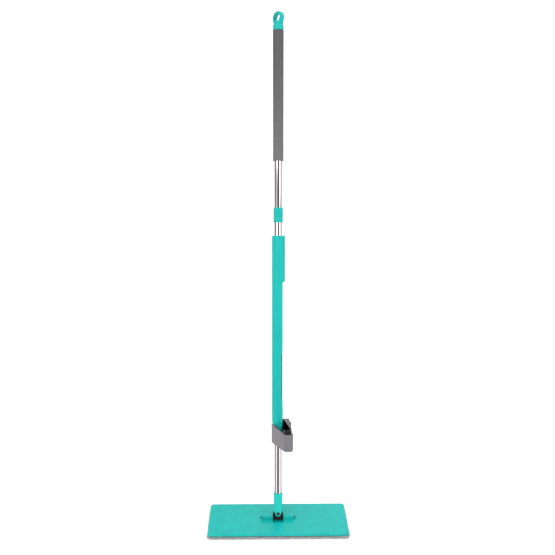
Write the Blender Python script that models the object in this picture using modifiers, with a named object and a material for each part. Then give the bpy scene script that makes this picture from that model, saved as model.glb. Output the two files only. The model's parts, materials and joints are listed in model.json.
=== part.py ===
"""Flat squeeze mop: a steel pole on a folding, tilting head, with a wringer that slides on the pole.

Lengths are in metres, +Z is up and +X runs along the mop head. The origin is the centre of the
pad's underside. The pole leans back by LEAN, and every piece on it is placed in the pole's own
frame: x across, q backwards and s up the pole, measured from the fold pin.
"""
import math

import bmesh
import bpy
from mathutils import Matrix, Vector

# ---- driving dimensions -------------------------------------------------------------------------
LEAN = math.radians(15.0)

HEAD_LENGTH = 0.345
HEAD_DEPTH = 0.127
HEAD_CORNER = 0.008
PAD_THICKNESS = 0.0060
PAD_EDGE = 0.0018
BACKING_THICKNESS = 0.0009
BACKING_INSET = 0.0030
HOOK_THICKNESS = 0.0006
HOOK_HALF_LENGTH = 0.1550
HOOK_HALF_WIDTH = 0.0125
HOOK_MIDDLE_Y = 0.0400
PLATE_THICKNESS = 0.0062
PLATE_EDGE = 0.0016
GAP = 0.0003

TILT_HEIGHT = 0.0045
FOLD_OFFSET = 0.0112
BARREL_RADIUS = 0.0062
BARREL_START = 0.0130
BARREL_END = 0.0395
WEB_HALF_Y = 0.0030
WEB_DEPTH = 0.0020
TILT_PIN_RADIUS = 0.0021
TILT_PIN_LOW = -0.0410
TILT_PIN_HIGH = 0.0405
TILT_HEAD_RADIUS = 0.0040
TILT_HEAD_NEAR = 0.0398
TILT_HEAD_FAR = 0.0416
FOLD_PIN_RADIUS = 0.0026
FOLD_PIN_FRONT = -0.0125
FOLD_PIN_BACK = 0.0121
FOLD_HEAD_RADIUS = 0.0043
FOLD_HEAD_FRONT = -0.0138
FOLD_HEAD_BACK = -0.0120
FOLD_WASHER_FRONT = 0.0120
FOLD_WASHER_BACK = 0.0132

RECESS_HALF_X = 0.0136
RECESS_HALF_Y = 0.0190
RECESS_DEPTH = 0.0044
RECESS_CORNER = 0.0035

CROSS_HALF_X = 0.01235
CROSS_HALF_Q = 0.0063
CROSS_BARREL_RADIUS = 0.0080
CROSS_SHOULDER = 0.0012
CROSS_CHAMFER = 0.0010

FORK_HALF_GAP = 0.0067
FORK_TIP_RADIUS = 0.0070
FORK_SLOT_TOP = 0.0435
FORK_TAPER_HALF = 0.0125
FORK_TAPER_TOP = 0.0180
SOCKET_TOP = 0.0490
SOCKET_HALF = 0.0117
SOCKET_CORNER = 0.0082
SPIGOT_RADIUS = 0.0088
SPIGOT_TOP = 0.1000

TUBE_RADIUS = 0.0100
TUBE_BORE = 0.0091
JOIN_HEIGHT = 0.7440
COLLAR_BOTTOM = 0.7255
COLLAR_TOP = 0.7620
COLLAR_RADIUS = 0.01175
CORE_REACH = 0.0400

GRIP_BOTTOM = 0.8785
GRIP_TOP = 1.2030
GRIP_RADIUS_LOW = 0.01305
GRIP_RADIUS_HIGH = 0.01370
CAP_TOP = 1.2185
CAP_RADIUS = 0.0137
CAP_BORE = 0.0033
CAP_CAVITY = 0.0062
CAP_ROOF = 1.2095
CAP_PLUG_BOTTOM = 1.1755
LOOP_BASE_RADIUS = 0.0122
LOOP_EYE_HEIGHT = 1.2350
LOOP_EYE_RADIUS = 0.0165
LOOP_EYE_HOLE = 0.0100
LOOP_HALF_THICKNESS = 0.0058
LOOP_NECK = 0.0112
LOOP_STEM_RADIUS = 0.0030
LOOP_STEM_BOTTOM = 1.2067
LOOP_TURN = math.radians(-50.0)
CLIP_RADIUS = 0.0055
CLIP_BOTTOM = 1.2071
CLIP_TOP = 1.2089

SLEEVE_RADIUS = 0.01565
SLEEVE_BORE = 0.01320
SLEEVE_TOP = 0.6920
SLEEVE_STEP = 0.5790
CROWN_RADIUS = 0.0166
CROWN_SHIFT = 0.00085
CROWN_BOTTOM = 0.5745
SLEEVE_LAP = 0.2275
SLEEVE_LAP_RADIUS = 0.01450
SLEEVE_BOTTOM = 0.1860
BUSH_BORE = 0.0121
BUSHES = {"sleeve_bush_top": (0.6660, 0.6900), "sleeve_bush_low": (0.5840, 0.6040)}
CHANNEL_EDGE = 0.0106
NOTCH_LOW = 0.2820
NOTCH_HIGH = 0.4020
NOTCH_EDGE = 0.0076
SHOE_EDGE = 0.0102
SHOE_THROAT = 0.0073

WRINGER_BOTTOM = 0.1690
WRINGER_RELIEF = 0.1738
WRINGER_TOP = 0.2095
WRINGER_POLE_BOTTOM = 0.1738
WRINGER_POLE_TOP = 0.2215
WRINGER_SLOPE_START = -0.0250
WRINGER_SLOPE_END = 0.0145
WRINGER_POLE_RADIUS = 0.0163
WRINGER_WALL = 0.0026
WRINGER_HALF_Q = 0.0690
WRINGER_OUTER_X = 0.0350
WRINGER_CORNER = 0.0050
WRINGER_SHOULDER_X = 0.0140
WRINGER_POST_X = 0.0310
WRINGER_POST_TOP = 0.2150
WRINGER_POST_Q = 0.0640
WRINGER_SAG_TOP = 0.2000
WRINGER_SAG_RUN = 0.0080
LINER_WALL = 0.0016
LINER_WING = 0.0012
LINER_WING_REACH = 0.0075
LINER_WING_RISE = 0.0040
LINER_POST_X = 0.0110
LINER_OUTER_X = 0.0302
LINER_BLADE_X = 0.0278
LINER_CORNER = 0.0024
LINER_TOP = 0.2207
LINER_BOTTOM = 0.1742
LIP_HALF_Q = 0.0560
LIP_BOTTOMS = (0.1815, 0.1935, 0.2055)
WIDE = 0.0900
HIGH = 0.2500

BACKING_BOTTOM = PAD_THICKNESS + GAP
HOOK_BOTTOM = BACKING_BOTTOM + BACKING_THICKNESS + GAP
PLATE_BOTTOM = HOOK_BOTTOM + HOOK_THICKNESS + GAP
PLATE_TOP = PLATE_BOTTOM + PLATE_THICKNESS
TILT_AXIS = Vector((0.0, 0.0, PLATE_TOP + TILT_HEIGHT))
POLE_TURN = Matrix.Rotation(-LEAN, 4, "X")
FOLD_AXIS = TILT_AXIS + POLE_TURN @ Vector((0.0, 0.0, FOLD_OFFSET))

FACING_X = Matrix(((0, 0, 1, 0), (1, 0, 0, 0), (0, 1, 0, 0), (0, 0, 0, 1)))
FACING_Q = Matrix.Rotation(math.pi / 2, 4, "X")

FINE = 40
MEDIUM = 32
COARSE = 20
MERGE = 0.00001


# ---- scene and materials ------------------------------------------------------------------------
def clear_scene():
    """Remove whatever the file starts with."""
    for old in list(bpy.data.objects):
        bpy.data.objects.remove(old, do_unlink=True)


def make_collection(name):
    """Return a new collection linked to the scene."""
    collection = bpy.data.collections.new(name)
    bpy.context.scene.collection.children.link(collection)
    return collection


def make_material(name, colour, roughness, metallic=0.0):
    """Return a Principled material of one plain finish."""
    material = bpy.data.materials.new(name)
    material.use_nodes = True
    shader = material.node_tree.nodes["Principled BSDF"]
    shader.inputs["Base Color"].default_value = (*colour, 1.0)
    shader.inputs["Roughness"].default_value = roughness
    shader.inputs["Metallic"].default_value = metallic
    return material


clear_scene()
PARTS = make_collection("flat_squeeze_mop")
CUTTERS = make_collection("cutters")
TEAL = (0.022, 0.530, 0.482)
GREY = (0.250, 0.240, 0.262)


# ---- modelling helpers --------------------------------------------------------------------------
def add_object(name, mesh, collection):
    """Put a mesh in the scene as a new object."""
    made = bpy.data.objects.new(name, mesh)
    collection.objects.link(made)
    return made


def box_mesh(name, low, high):
    """Return a box mesh between two corners."""
    cube = bmesh.new()
    bmesh.ops.create_cube(cube, size=1.0)
    size = Vector(high) - Vector(low)
    middle = (Vector(high) + Vector(low)) / 2.0
    cube.transform(Matrix.Translation(middle) @ Matrix.Diagonal((*size, 1.0)))
    mesh = bpy.data.meshes.new(name)
    cube.to_mesh(mesh)
    cube.free()
    return mesh


def rod_mesh(name, radius, start, end, axis, segments=COARSE):
    """Return a rod along X, Y or Z between two coordinates on that axis."""
    rod = bmesh.new()
    bmesh.ops.create_cone(rod, cap_ends=True, segments=segments, radius1=radius, radius2=radius,
                          depth=end - start)
    turn = {"X": Matrix.Rotation(math.pi / 2, 4, "Y"), "Y": Matrix.Rotation(-math.pi / 2, 4, "X"),
            "Z": Matrix.Identity(4)}[axis]
    shift = Vector([(start + end) / 2 if letter == axis else 0.0 for letter in "XYZ"])
    rod.transform(Matrix.Translation(shift) @ turn)
    mesh = bpy.data.meshes.new(name)
    rod.to_mesh(mesh)
    rod.free()
    return mesh


def turned(name, profile, collection, segments=FINE, closed=False):
    """Turn a profile of (radius, height) points about Z; it runs down its outer side."""
    mesh = bpy.data.meshes.new(name)
    points = [(radius, 0.0, height) for radius, height in profile]
    edges = [(i, i + 1) for i in range(len(points) - 1)]
    if closed:
        edges.append((len(points) - 1, 0))
    mesh.from_pydata(points, edges, [])
    made = add_object(name, mesh, collection)
    screw = made.modifiers.new("turn", "SCREW")
    screw.steps = segments
    screw.render_steps = segments
    screw.use_merge_vertices = True
    screw.merge_threshold = MERGE
    return made


def ring_profile(bore, radius, low, high, edge=0.0006):
    """Return the section of a ring with its outer edges broken."""
    return [(bore, high), (radius - edge, high), (radius, high - edge), (radius, low + edge),
            (radius - edge, low), (bore, low)]


def prism(name, outlines, low, high, collection):
    """Extrude flat outlines along Z into one mesh; a second outline is a hole in the first."""
    curve = bpy.data.curves.new(name, "CURVE")
    curve.dimensions = "2D"
    curve.fill_mode = "BOTH"
    curve.extrude = (high - low) / 2.0
    for outline in outlines:
        spline = curve.splines.new("POLY")
        spline.points.add(len(outline) - 1)
        for point, place in zip(spline.points, outline):
            point.co = (place[0], place[1], 0.0, 1.0)
        spline.use_cyclic_u = True
    holder = bpy.data.objects.new(name + "_outline", curve)
    collection.objects.link(holder)
    bpy.context.view_layer.update()
    evaluated = holder.evaluated_get(bpy.context.evaluated_depsgraph_get())
    mesh = bpy.data.meshes.new_from_object(evaluated)
    bpy.data.objects.remove(holder, do_unlink=True)
    weld_and_shift(mesh, Matrix.Translation((0.0, 0.0, (low + high) / 2.0)))
    return add_object(name, mesh, collection)


def weld_and_shift(mesh, matrix):
    """Weld a mesh's loose caps and move its points."""
    work = bmesh.new()
    work.from_mesh(mesh)
    bmesh.ops.remove_doubles(work, verts=work.verts, dist=MERGE)
    bmesh.ops.recalc_face_normals(work, faces=work.faces)
    work.transform(matrix)
    work.to_mesh(mesh)
    work.free()


def as_cutter(made):
    """Mark an object as a guide that only cuts or joins."""
    made.hide_render = True
    made.display_type = "WIRE"
    return made


def cutter(name, mesh):
    """Put a mesh among the cutters."""
    return as_cutter(add_object(name, mesh, CUTTERS))


def combine(made, other, operation="DIFFERENCE"):
    """Cut another object out of this one, or join it on; finish() gives both one frame."""
    step = made.modifiers.new(operation.lower(), "BOOLEAN")
    step.operation = operation
    step.solver = "EXACT"
    step.object = other
    return made


def round_edges(made, width, segments=2, angle=40.0):
    """Bevel the sharp edges of an object."""
    bevel = made.modifiers.new("round", "BEVEL")
    bevel.width = width
    bevel.segments = segments
    bevel.limit_method = "ANGLE"
    bevel.angle_limit = math.radians(angle)
    return made


def arc(centre, radius, start, end, steps):
    """Return points along an arc, angles in degrees."""
    spread = [math.radians(start + (end - start) * i / steps) for i in range(steps + 1)]
    return [(centre[0] + radius * math.cos(a), centre[1] + radius * math.sin(a)) for a in spread]


def rounded_rectangle(half_x, half_y, corner, steps=4):
    """Return the outline of a rectangle with round corners, centred at the origin."""
    points = []
    for turn, (side_x, side_y) in enumerate(((1, 1), (-1, 1), (-1, -1), (1, -1))):
        centre = (side_x * (half_x - corner), side_y * (half_y - corner))
        points += arc(centre, corner, 90 * turn, 90 * turn + 90, steps)
    return points


def make_axis(name, place, parent=None):
    """Put an empty on a joint's axis."""
    axis = bpy.data.objects.new(name, None)
    axis.empty_display_size = 0.05
    axis.matrix_basis = place
    axis.parent = parent
    PARTS.objects.link(axis)
    return axis


POLE = make_axis("pole_frame", Matrix.Translation(FOLD_AXIS) @ POLE_TURN)
SLIDER = make_axis("slider_frame", Matrix.Identity(4), POLE)
CROSS_AXIS = make_axis("fold_axis", Matrix.Identity(4), POLE)
HEAD_AXIS = make_axis("tilt_axis", Matrix.Translation(TILT_AXIS))


def finish(made, parent, material, smooth=35.0):
    """Give a piece and its cutters their frame, and the piece its material and smooth shading."""
    made.parent = parent
    for step in made.modifiers:
        if step.type == "BOOLEAN":
            step.object.parent = parent
            step.object.matrix_basis = made.matrix_basis
    made.data.materials.append(material)
    made.data.shade_smooth()
    made.data.set_sharp_from_angle(angle=math.radians(smooth))
    return made


# ---- head ---------------------------------------------------------------------------------------
def head_place(made):
    """Place a head piece, drawn in world coordinates, under the tilt axis."""
    made.location = -TILT_AXIS
    return made


def make_pad(material):
    """The microfibre pad: a plain block in the soft part's place."""
    outline = rounded_rectangle(HEAD_LENGTH / 2, HEAD_DEPTH / 2, HEAD_CORNER)
    pad = prism("mop_pad", [outline], 0.0, PAD_THICKNESS, PARTS)
    round_edges(pad, PAD_EDGE, 2, 60.0)
    return finish(head_place(pad), HEAD_AXIS, material)


def make_backing(material):
    """The woven backing that the pad is sewn to."""
    outline = rounded_rectangle(HEAD_LENGTH / 2 - BACKING_INSET, HEAD_DEPTH / 2 - BACKING_INSET,
                                HEAD_CORNER - BACKING_INSET)
    backing = prism("pad_backing", [outline], BACKING_BOTTOM, BACKING_BOTTOM + BACKING_THICKNESS, PARTS)
    return finish(head_place(backing), HEAD_AXIS, material)


def make_hook_strip(name, middle_y, material):
    """One of the hook-tape strips under the plate."""
    low = (-HOOK_HALF_LENGTH, middle_y - HOOK_HALF_WIDTH, HOOK_BOTTOM)
    high = (HOOK_HALF_LENGTH, middle_y + HOOK_HALF_WIDTH, HOOK_BOTTOM + HOOK_THICKNESS)
    strip = add_object(name, box_mesh(name, low, high), PARTS)
    return finish(head_place(strip), HEAD_AXIS, material)


def make_plate(material):
    """The head plate with two hinge barrels on narrow webs and a recess between them."""
    outline = rounded_rectangle(HEAD_LENGTH / 2, HEAD_DEPTH / 2, HEAD_CORNER)
    plate = prism("head_plate", [outline], PLATE_BOTTOM, PLATE_TOP, PARTS)
    head_place(plate)
    round_edges(plate, PLATE_EDGE, 2, 60.0)
    for side in (-1, 1):
        low, high = sorted((side * BARREL_START, side * BARREL_END))
        web_low = (low, -WEB_HALF_Y, PLATE_TOP - WEB_DEPTH)
        web_high = (high, WEB_HALF_Y, TILT_AXIS.z)
        combine(plate, cutter(f"web_{side}", box_mesh("web", web_low, web_high)), "UNION")
        barrel = rod_mesh("barrel", BARREL_RADIUS, low, high, "X", 24)
        barrel.transform(Matrix.Translation(TILT_AXIS))
        combine(plate, cutter(f"barrel_{side}", barrel), "UNION")
    recess = prism("recess", [rounded_rectangle(RECESS_HALF_X, RECESS_HALF_Y, RECESS_CORNER)],
                   PLATE_TOP - RECESS_DEPTH, PLATE_TOP + 0.0200, CUTTERS)
    combine(plate, as_cutter(recess))
    bore = rod_mesh("tilt_bore", TILT_PIN_RADIUS + GAP, -0.0600, 0.0600, "X", 16)
    bore.transform(Matrix.Translation(TILT_AXIS))
    combine(plate, cutter("tilt_bore", bore))
    return finish(plate, HEAD_AXIS, material, 30.0)


def make_tilt_pin(material):
    """The steel pin through both barrels, with a washer-like head."""
    shank = rod_mesh("tilt_pin", TILT_PIN_RADIUS, TILT_PIN_LOW, TILT_PIN_HIGH, "X", 16)
    pin = add_object("tilt_pin", shank, PARTS)
    head = rod_mesh("head", TILT_HEAD_RADIUS, TILT_HEAD_NEAR, TILT_HEAD_FAR, "X", 16)
    combine(pin, cutter("tilt_pin_head", head), "UNION")
    return finish(pin, HEAD_AXIS, material)


def make_tilt_clip(material):
    """The push-on cap that holds the tilt pin's other end."""
    bore, bottom = TILT_PIN_RADIUS + GAP, GAP - TILT_PIN_LOW
    section = [(0.0, TILT_HEAD_FAR), (TILT_HEAD_RADIUS - 0.0006, TILT_HEAD_FAR),
               (TILT_HEAD_RADIUS, TILT_HEAD_FAR - 0.0006), (TILT_HEAD_RADIUS, TILT_HEAD_NEAR),
               (bore, TILT_HEAD_NEAR), (bore, bottom), (0.0, bottom)]
    clip = turned("tilt_pin_cap", section, PARTS, 16)
    clip.rotation_euler = (0.0, -math.pi / 2, 0.0)
    return finish(clip, HEAD_AXIS, material)


# ---- cross piece --------------------------------------------------------------------------------
def make_cross(material):
    """The black joint block: a boss on the tilt pin and a shouldered tongue on the fold pin."""
    reach = math.degrees(math.asin(CROSS_HALF_Q / CROSS_BARREL_RADIUS))
    outline = arc((0.0, -FOLD_OFFSET), CROSS_BARREL_RADIUS, -90.0 - reach, -90.0 + reach, 10)
    side, top = CROSS_HALF_Q - CROSS_CHAMFER, CROSS_SHOULDER - CROSS_CHAMFER
    outline += [(CROSS_HALF_Q, top), (side, CROSS_SHOULDER), (-side, CROSS_SHOULDER), (-CROSS_HALF_Q, top)]
    cross = prism("joint_cross", [outline], -CROSS_HALF_X, CROSS_HALF_X, PARTS)
    cross.data.transform(FACING_X)
    tongue_half = CROSS_HALF_Q - 0.0002
    tongue = rod_mesh("tongue", FORK_TIP_RADIUS, -tongue_half, tongue_half, "Y", 24)
    combine(cross, cutter("cross_tongue", tongue), "UNION")
    fold_bore = rod_mesh("fold_bore", FOLD_PIN_RADIUS + GAP, -0.0200, 0.0200, "Y", 16)
    combine(cross, cutter("cross_fold_bore", fold_bore))
    tilt_bore = rod_mesh("tilt_bore", TILT_PIN_RADIUS + GAP, -0.0200, 0.0200, "X", 16)
    tilt_bore.transform(Matrix.Translation((0.0, 0.0, -FOLD_OFFSET)))
    combine(cross, cutter("cross_tilt_bore", tilt_bore))
    return finish(cross, CROSS_AXIS, material, 30.0)


# ---- pole ---------------------------------------------------------------------------------------
def make_socket(material):
    """The fork socket: a spigot in the tube over a square body with two tapered cheeks."""
    body = rounded_rectangle(SOCKET_HALF, SOCKET_HALF, SOCKET_CORNER)
    socket = prism("fork_socket", [body], -FORK_TIP_RADIUS, SOCKET_TOP, PARTS)
    spigot = rod_mesh("spigot", SPIGOT_RADIUS, SOCKET_TOP - 0.0030, SPIGOT_TOP, "Z", FINE)
    combine(socket, cutter("socket_spigot", spigot), "UNION")
    slot = box_mesh("slot", (-0.0200, -FORK_HALF_GAP, -0.0200), (0.0200, FORK_HALF_GAP, FORK_SLOT_TOP))
    combine(socket, cutter("fork_slot", slot))
    tip = arc((0.0, 0.0), FORK_TIP_RADIUS, -20.0, -160.0, 10)
    outline = [(-FORK_TAPER_HALF, FORK_TAPER_TOP), (-0.0300, FORK_TAPER_TOP), (-0.0300, -0.0300),
               (0.0300, -0.0300), (0.0300, FORK_TAPER_TOP), (FORK_TAPER_HALF, FORK_TAPER_TOP)] + tip
    taper = prism("fork_taper", [outline], -0.0200, 0.0200, CUTTERS)
    taper.data.transform(FACING_Q)
    combine(socket, as_cutter(taper))
    bore = rod_mesh("fork_bore", FOLD_PIN_RADIUS + GAP, -0.0200, 0.0200, "Y", 16)
    combine(socket, cutter("fork_bore", bore))
    return finish(socket, POLE, material, 30.0)


def make_fold_pin(material):
    """The headed pin through both cheeks and the cross."""
    shank = rod_mesh("fold_pin", FOLD_PIN_RADIUS, FOLD_PIN_FRONT, FOLD_PIN_BACK, "Y", 16)
    pin = add_object("fold_pin", shank, PARTS)
    head = cutter("fold_pin_head", rod_mesh("head", FOLD_HEAD_RADIUS, FOLD_HEAD_FRONT, FOLD_HEAD_BACK, "Y"))
    combine(pin, head, "UNION")
    return finish(pin, POLE, material)


def make_fold_washer(material):
    """The push-on washer at the back of the fold pin."""
    bore = FOLD_PIN_RADIUS + GAP
    section = ring_profile(bore, FOLD_HEAD_RADIUS, FOLD_WASHER_FRONT, FOLD_WASHER_BACK, 0.0003)
    washer = turned("fold_pin_washer", section, PARTS, 16, True)
    washer.rotation_euler = (-math.pi / 2, 0.0, 0.0)
    return finish(washer, POLE, material)


def make_tube(name, low, high, material):
    """A plain steel tube."""
    tube = turned(name, ring_profile(TUBE_BORE, TUBE_RADIUS, low, high, 0.0003), PARTS, FINE, True)
    return finish(tube, POLE, material)


def make_coupling_core(material):
    """The plug that joins the two tubes inside the collar."""
    radius = TUBE_BORE - GAP
    top, bottom = JOIN_HEIGHT + CORE_REACH, JOIN_HEIGHT - CORE_REACH
    section = [(0.0, top), (radius, top), (radius, bottom), (0.0, bottom)]
    return finish(turned("coupling_core", section, PARTS, COARSE), POLE, material)


def make_collar(material):
    """The ring that locks the two tubes together."""
    section = ring_profile(TUBE_RADIUS + GAP, COLLAR_RADIUS, COLLAR_BOTTOM, COLLAR_TOP, 0.0009)
    return finish(turned("coupling_collar", section, PARTS, FINE, True), POLE, material)


def make_grip(material):
    """The tapered hand grip, rounded at its lower end."""
    bore = TUBE_RADIUS + GAP
    section = [(bore, GRIP_TOP), (GRIP_RADIUS_HIGH, GRIP_TOP), (GRIP_RADIUS_LOW, GRIP_BOTTOM + 0.0025),
               (GRIP_RADIUS_LOW - 0.0008, GRIP_BOTTOM + 0.0007), (GRIP_RADIUS_LOW - 0.0022, GRIP_BOTTOM),
               (bore, GRIP_BOTTOM)]
    return finish(turned("grip", section, PARTS, FINE, True), POLE, material)


def make_cap(material):
    """The end cap: a collar on the grip, a plug in the tube and a bore for the loop's stem."""
    low = GRIP_TOP + GAP
    plug_radius = TUBE_BORE - GAP
    section = [(CAP_BORE, CAP_TOP), (CAP_RADIUS - 0.0020, CAP_TOP), (CAP_RADIUS - 0.0004, CAP_TOP - 0.0014),
               (CAP_RADIUS, CAP_TOP - 0.0040), (CAP_RADIUS, low), (plug_radius, low),
               (plug_radius, CAP_PLUG_BOTTOM), (CAP_CAVITY, CAP_PLUG_BOTTOM), (CAP_CAVITY, CAP_ROOF),
               (CAP_BORE, CAP_ROOF)]
    return finish(turned("end_cap", section, PARTS, FINE, True), POLE, material)


def make_loop(material):
    """The hanging loop: a round base, an arched eye and a stem down through the cap."""
    base, radius = CAP_TOP + GAP, LOOP_BASE_RADIUS
    section = [(0.0, base + 0.0075), (radius - 0.0027, base + 0.0072), (radius - 0.0004, base + 0.0050),
               (radius, base + 0.0020), (radius - 0.0007, base), (LOOP_STEM_RADIUS, base),
               (LOOP_STEM_RADIUS, LOOP_STEM_BOTTOM), (0.0, LOOP_STEM_BOTTOM)]
    loop = turned("hang_loop", section, PARTS, MEDIUM)
    centre = (0.0, LOOP_EYE_HEIGHT)
    outer = arc(centre, LOOP_EYE_RADIUS, 0.0, 180.0, 12)
    outer += [(-LOOP_NECK, base + 0.0035), (LOOP_NECK, base + 0.0035)]
    inner = arc(centre, LOOP_EYE_HOLE, 0.0, 180.0, 10) + arc(centre, LOOP_EYE_HOLE, 200.0, 340.0, 8)
    eye = prism("loop_eye", [outer, inner], -LOOP_HALF_THICKNESS, LOOP_HALF_THICKNESS, CUTTERS)
    eye.data.transform(FACING_Q)
    round_edges(eye, 0.0016, 2, 50.0)
    combine(loop, as_cutter(eye), "UNION")
    loop.rotation_euler = (0.0, 0.0, LOOP_TURN)
    return finish(loop, POLE, material)


def make_stem_clip(material):
    """The clip ring on the stem's lower end, inside the cap."""
    section = ring_profile(CAP_BORE, CLIP_RADIUS, CLIP_BOTTOM, CLIP_TOP, 0.0003)
    return finish(turned("stem_clip", section, PARTS, COARSE, True), POLE, material)


# ---- slider -------------------------------------------------------------------------------------
def make_sleeve(material):
    """The sleeve: closed and fuller above, open to +X below, thinned where the wringer laps over it."""
    section = [(0.0, SLEEVE_TOP), (SLEEVE_RADIUS - 0.0008, SLEEVE_TOP), (SLEEVE_RADIUS, SLEEVE_TOP - 0.0008),
               (SLEEVE_RADIUS, SLEEVE_LAP + GAP), (SLEEVE_LAP_RADIUS, SLEEVE_LAP + GAP),
               (SLEEVE_LAP_RADIUS, SLEEVE_BOTTOM), (0.0, SLEEVE_BOTTOM)]
    sleeve = turned("slider_sleeve", section, PARTS, FINE)
    crown = rod_mesh("crown", CROWN_RADIUS, CROWN_BOTTOM, SLEEVE_TOP - 0.0005, "Z", FINE)
    crown.transform(Matrix.Translation((CROWN_SHIFT, 0.0, 0.0)))
    combine(sleeve, cutter("sleeve_crown", crown), "UNION")
    bore = rod_mesh("bore", SLEEVE_BORE, 0.1000, 0.8000, "Z", FINE)
    combine(sleeve, cutter("sleeve_bore", bore))
    step = SLEEVE_STEP
    outline = [(CHANNEL_EDGE, 0.1000), (0.0300, 0.1000), (0.0300, step - 0.0070), (0.0150, step - 0.0070),
               (0.0140, step - 0.0030), (0.0128, step - 0.0008), (0.0112, step - 0.0030),
               (CHANNEL_EDGE, step - 0.0080)]
    channel = prism("sleeve_channel", [outline], -0.0300, 0.0300, CUTTERS)
    channel.data.transform(FACING_Q)
    combine(sleeve, as_cutter(channel))
    outline = [(NOTCH_EDGE, NOTCH_LOW), (0.0200, NOTCH_LOW - 0.0040), (0.0200, NOTCH_HIGH + 0.0500),
               (NOTCH_EDGE, NOTCH_HIGH - 0.0350)]
    notch = prism("sleeve_notch", [outline], -0.0300, 0.0300, CUTTERS)
    notch.data.transform(FACING_Q)
    combine(sleeve, as_cutter(notch))
    return finish(sleeve, SLIDER, material, 30.0)


def make_bush(name, low, high, material):
    """A plain guide ring inside the sleeve."""
    section = ring_profile(BUSH_BORE, SLEEVE_BORE - GAP, low, high, 0.0003)
    return finish(turned(name, section, PARTS, MEDIUM, True), SLIDER, material)


def make_guide_shoe(material):
    """The dark guide channel inside the sleeve, open to +X."""
    section = ring_profile(TUBE_RADIUS + 0.0004, SLEEVE_BORE - GAP, NOTCH_LOW, NOTCH_HIGH, 0.0003)
    shoe = turned("guide_shoe", section, PARTS, MEDIUM, True)
    low, high = NOTCH_LOW - 0.0200, NOTCH_HIGH + 0.0200
    opening = box_mesh("opening", (SHOE_EDGE, -0.0300, low), (0.0300, 0.0300, high))
    combine(shoe, cutter("shoe_opening", opening))
    throat = box_mesh("throat", (0.0, -SHOE_THROAT, low), (0.0300, SHOE_THROAT, high))
    combine(shoe, cutter("shoe_throat", throat))
    return finish(shoe, SLIDER, material, 30.0)


def wing_outline(pole_radius, shoulder_x, half_q, outer_x, corner, steps):
    """Return the loop's plan: round the pole, out along two slanted wings and straight across."""
    distance = math.hypot(shoulder_x, half_q)
    towards = math.degrees(math.atan2(half_q, shoulder_x))
    touch = towards + math.degrees(math.acos(pole_radius / distance))
    points = arc((0.0, 0.0), pole_radius, touch, 360.0 - touch, steps)
    points.append((shoulder_x, -half_q))
    points += arc((outer_x - corner, corner - half_q), corner, -90.0, 0.0, 5)
    points += arc((outer_x - corner, half_q - corner), corner, 0.0, 90.0, 5)
    points.append((shoulder_x, half_q))
    return points


def slope_cutter(name, rise, end):
    """Return a cutter over the line that falls from the pole's side to the loop's level rim, then level."""
    high, low = WRINGER_POLE_TOP + 0.0030 + rise, WRINGER_TOP
    share = min(1.0, (end - WRINGER_SLOPE_START) / (WRINGER_SLOPE_END - WRINGER_SLOPE_START))
    turn_x = WRINGER_SLOPE_START + share * (WRINGER_SLOPE_END - WRINGER_SLOPE_START)
    turn_height = high + share * (low - high)
    outline = [(WRINGER_SLOPE_START, HIGH), (WRINGER_SLOPE_START, high), (turn_x, turn_height)]
    if end > turn_x:
        outline.append((end, turn_height))
    outline.append((end, HIGH))
    shape = prism(name, [outline], -WIDE, WIDE, CUTTERS)
    shape.data.transform(FACING_Q)
    return as_cutter(shape)


def make_housing(material):
    """The grey wringer loop, sloped on the pole's side and with raised outer corners."""
    outer = wing_outline(WRINGER_POLE_RADIUS, WRINGER_SHOULDER_X, WRINGER_HALF_Q, WRINGER_OUTER_X,
                         WRINGER_CORNER, 8)
    inner = wing_outline(SLEEVE_LAP_RADIUS + GAP, WRINGER_SHOULDER_X + 0.0010, WRINGER_HALF_Q - WRINGER_WALL,
                         WRINGER_OUTER_X - WRINGER_WALL, WRINGER_CORNER - 0.0024, 8)
    housing = prism("wringer_housing", [outer, inner], WRINGER_BOTTOM, WRINGER_POLE_TOP, PARTS)
    combine(housing, slope_cutter("housing_over", 0.0, WRINGER_POST_X))
    under = [(WRINGER_SLOPE_START, 0.1500), (WRINGER_SLOPE_END, 0.1500), (WRINGER_SLOPE_END, WRINGER_BOTTOM),
             (-0.0100, WRINGER_POLE_BOTTOM), (WRINGER_SLOPE_START, WRINGER_POLE_BOTTOM + 0.0075)]
    shape = prism("housing_under", [under], -WIDE, WIDE, CUTTERS)
    shape.data.transform(FACING_Q)
    combine(housing, as_cutter(shape))
    reach = WRINGER_HALF_Q - WRINGER_WALL - 0.0010
    for name, low, high in (("outer_relief", (WRINGER_POST_X, -reach), (0.0500, reach)),
                            ("wing_relief", (-0.0120, 0.0), (0.0500, reach))):
        relief = box_mesh(name, (*low, 0.1500), (*high, WRINGER_RELIEF))
        combine(housing, cutter(f"housing_{name}", relief))
    reach = WRINGER_POST_Q
    sag = [(-reach, HIGH), (-reach, WRINGER_POST_TOP), (-reach + WRINGER_SAG_RUN, WRINGER_SAG_TOP),
           (reach - WRINGER_SAG_RUN, WRINGER_SAG_TOP), (reach, WRINGER_POST_TOP), (reach, HIGH)]
    shape = prism("housing_sag", [sag], WRINGER_POST_X - 0.0001, 0.0500, CUTTERS)
    shape.data.transform(FACING_X)
    combine(housing, as_cutter(shape))
    posts = box_mesh("posts", (WRINGER_POST_X - 0.0010, -WIDE, WRINGER_POST_TOP), (0.0500, WIDE, HIGH))
    combine(housing, cutter("housing_posts", posts))
    return finish(housing, SLIDER, material, 30.0)


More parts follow.
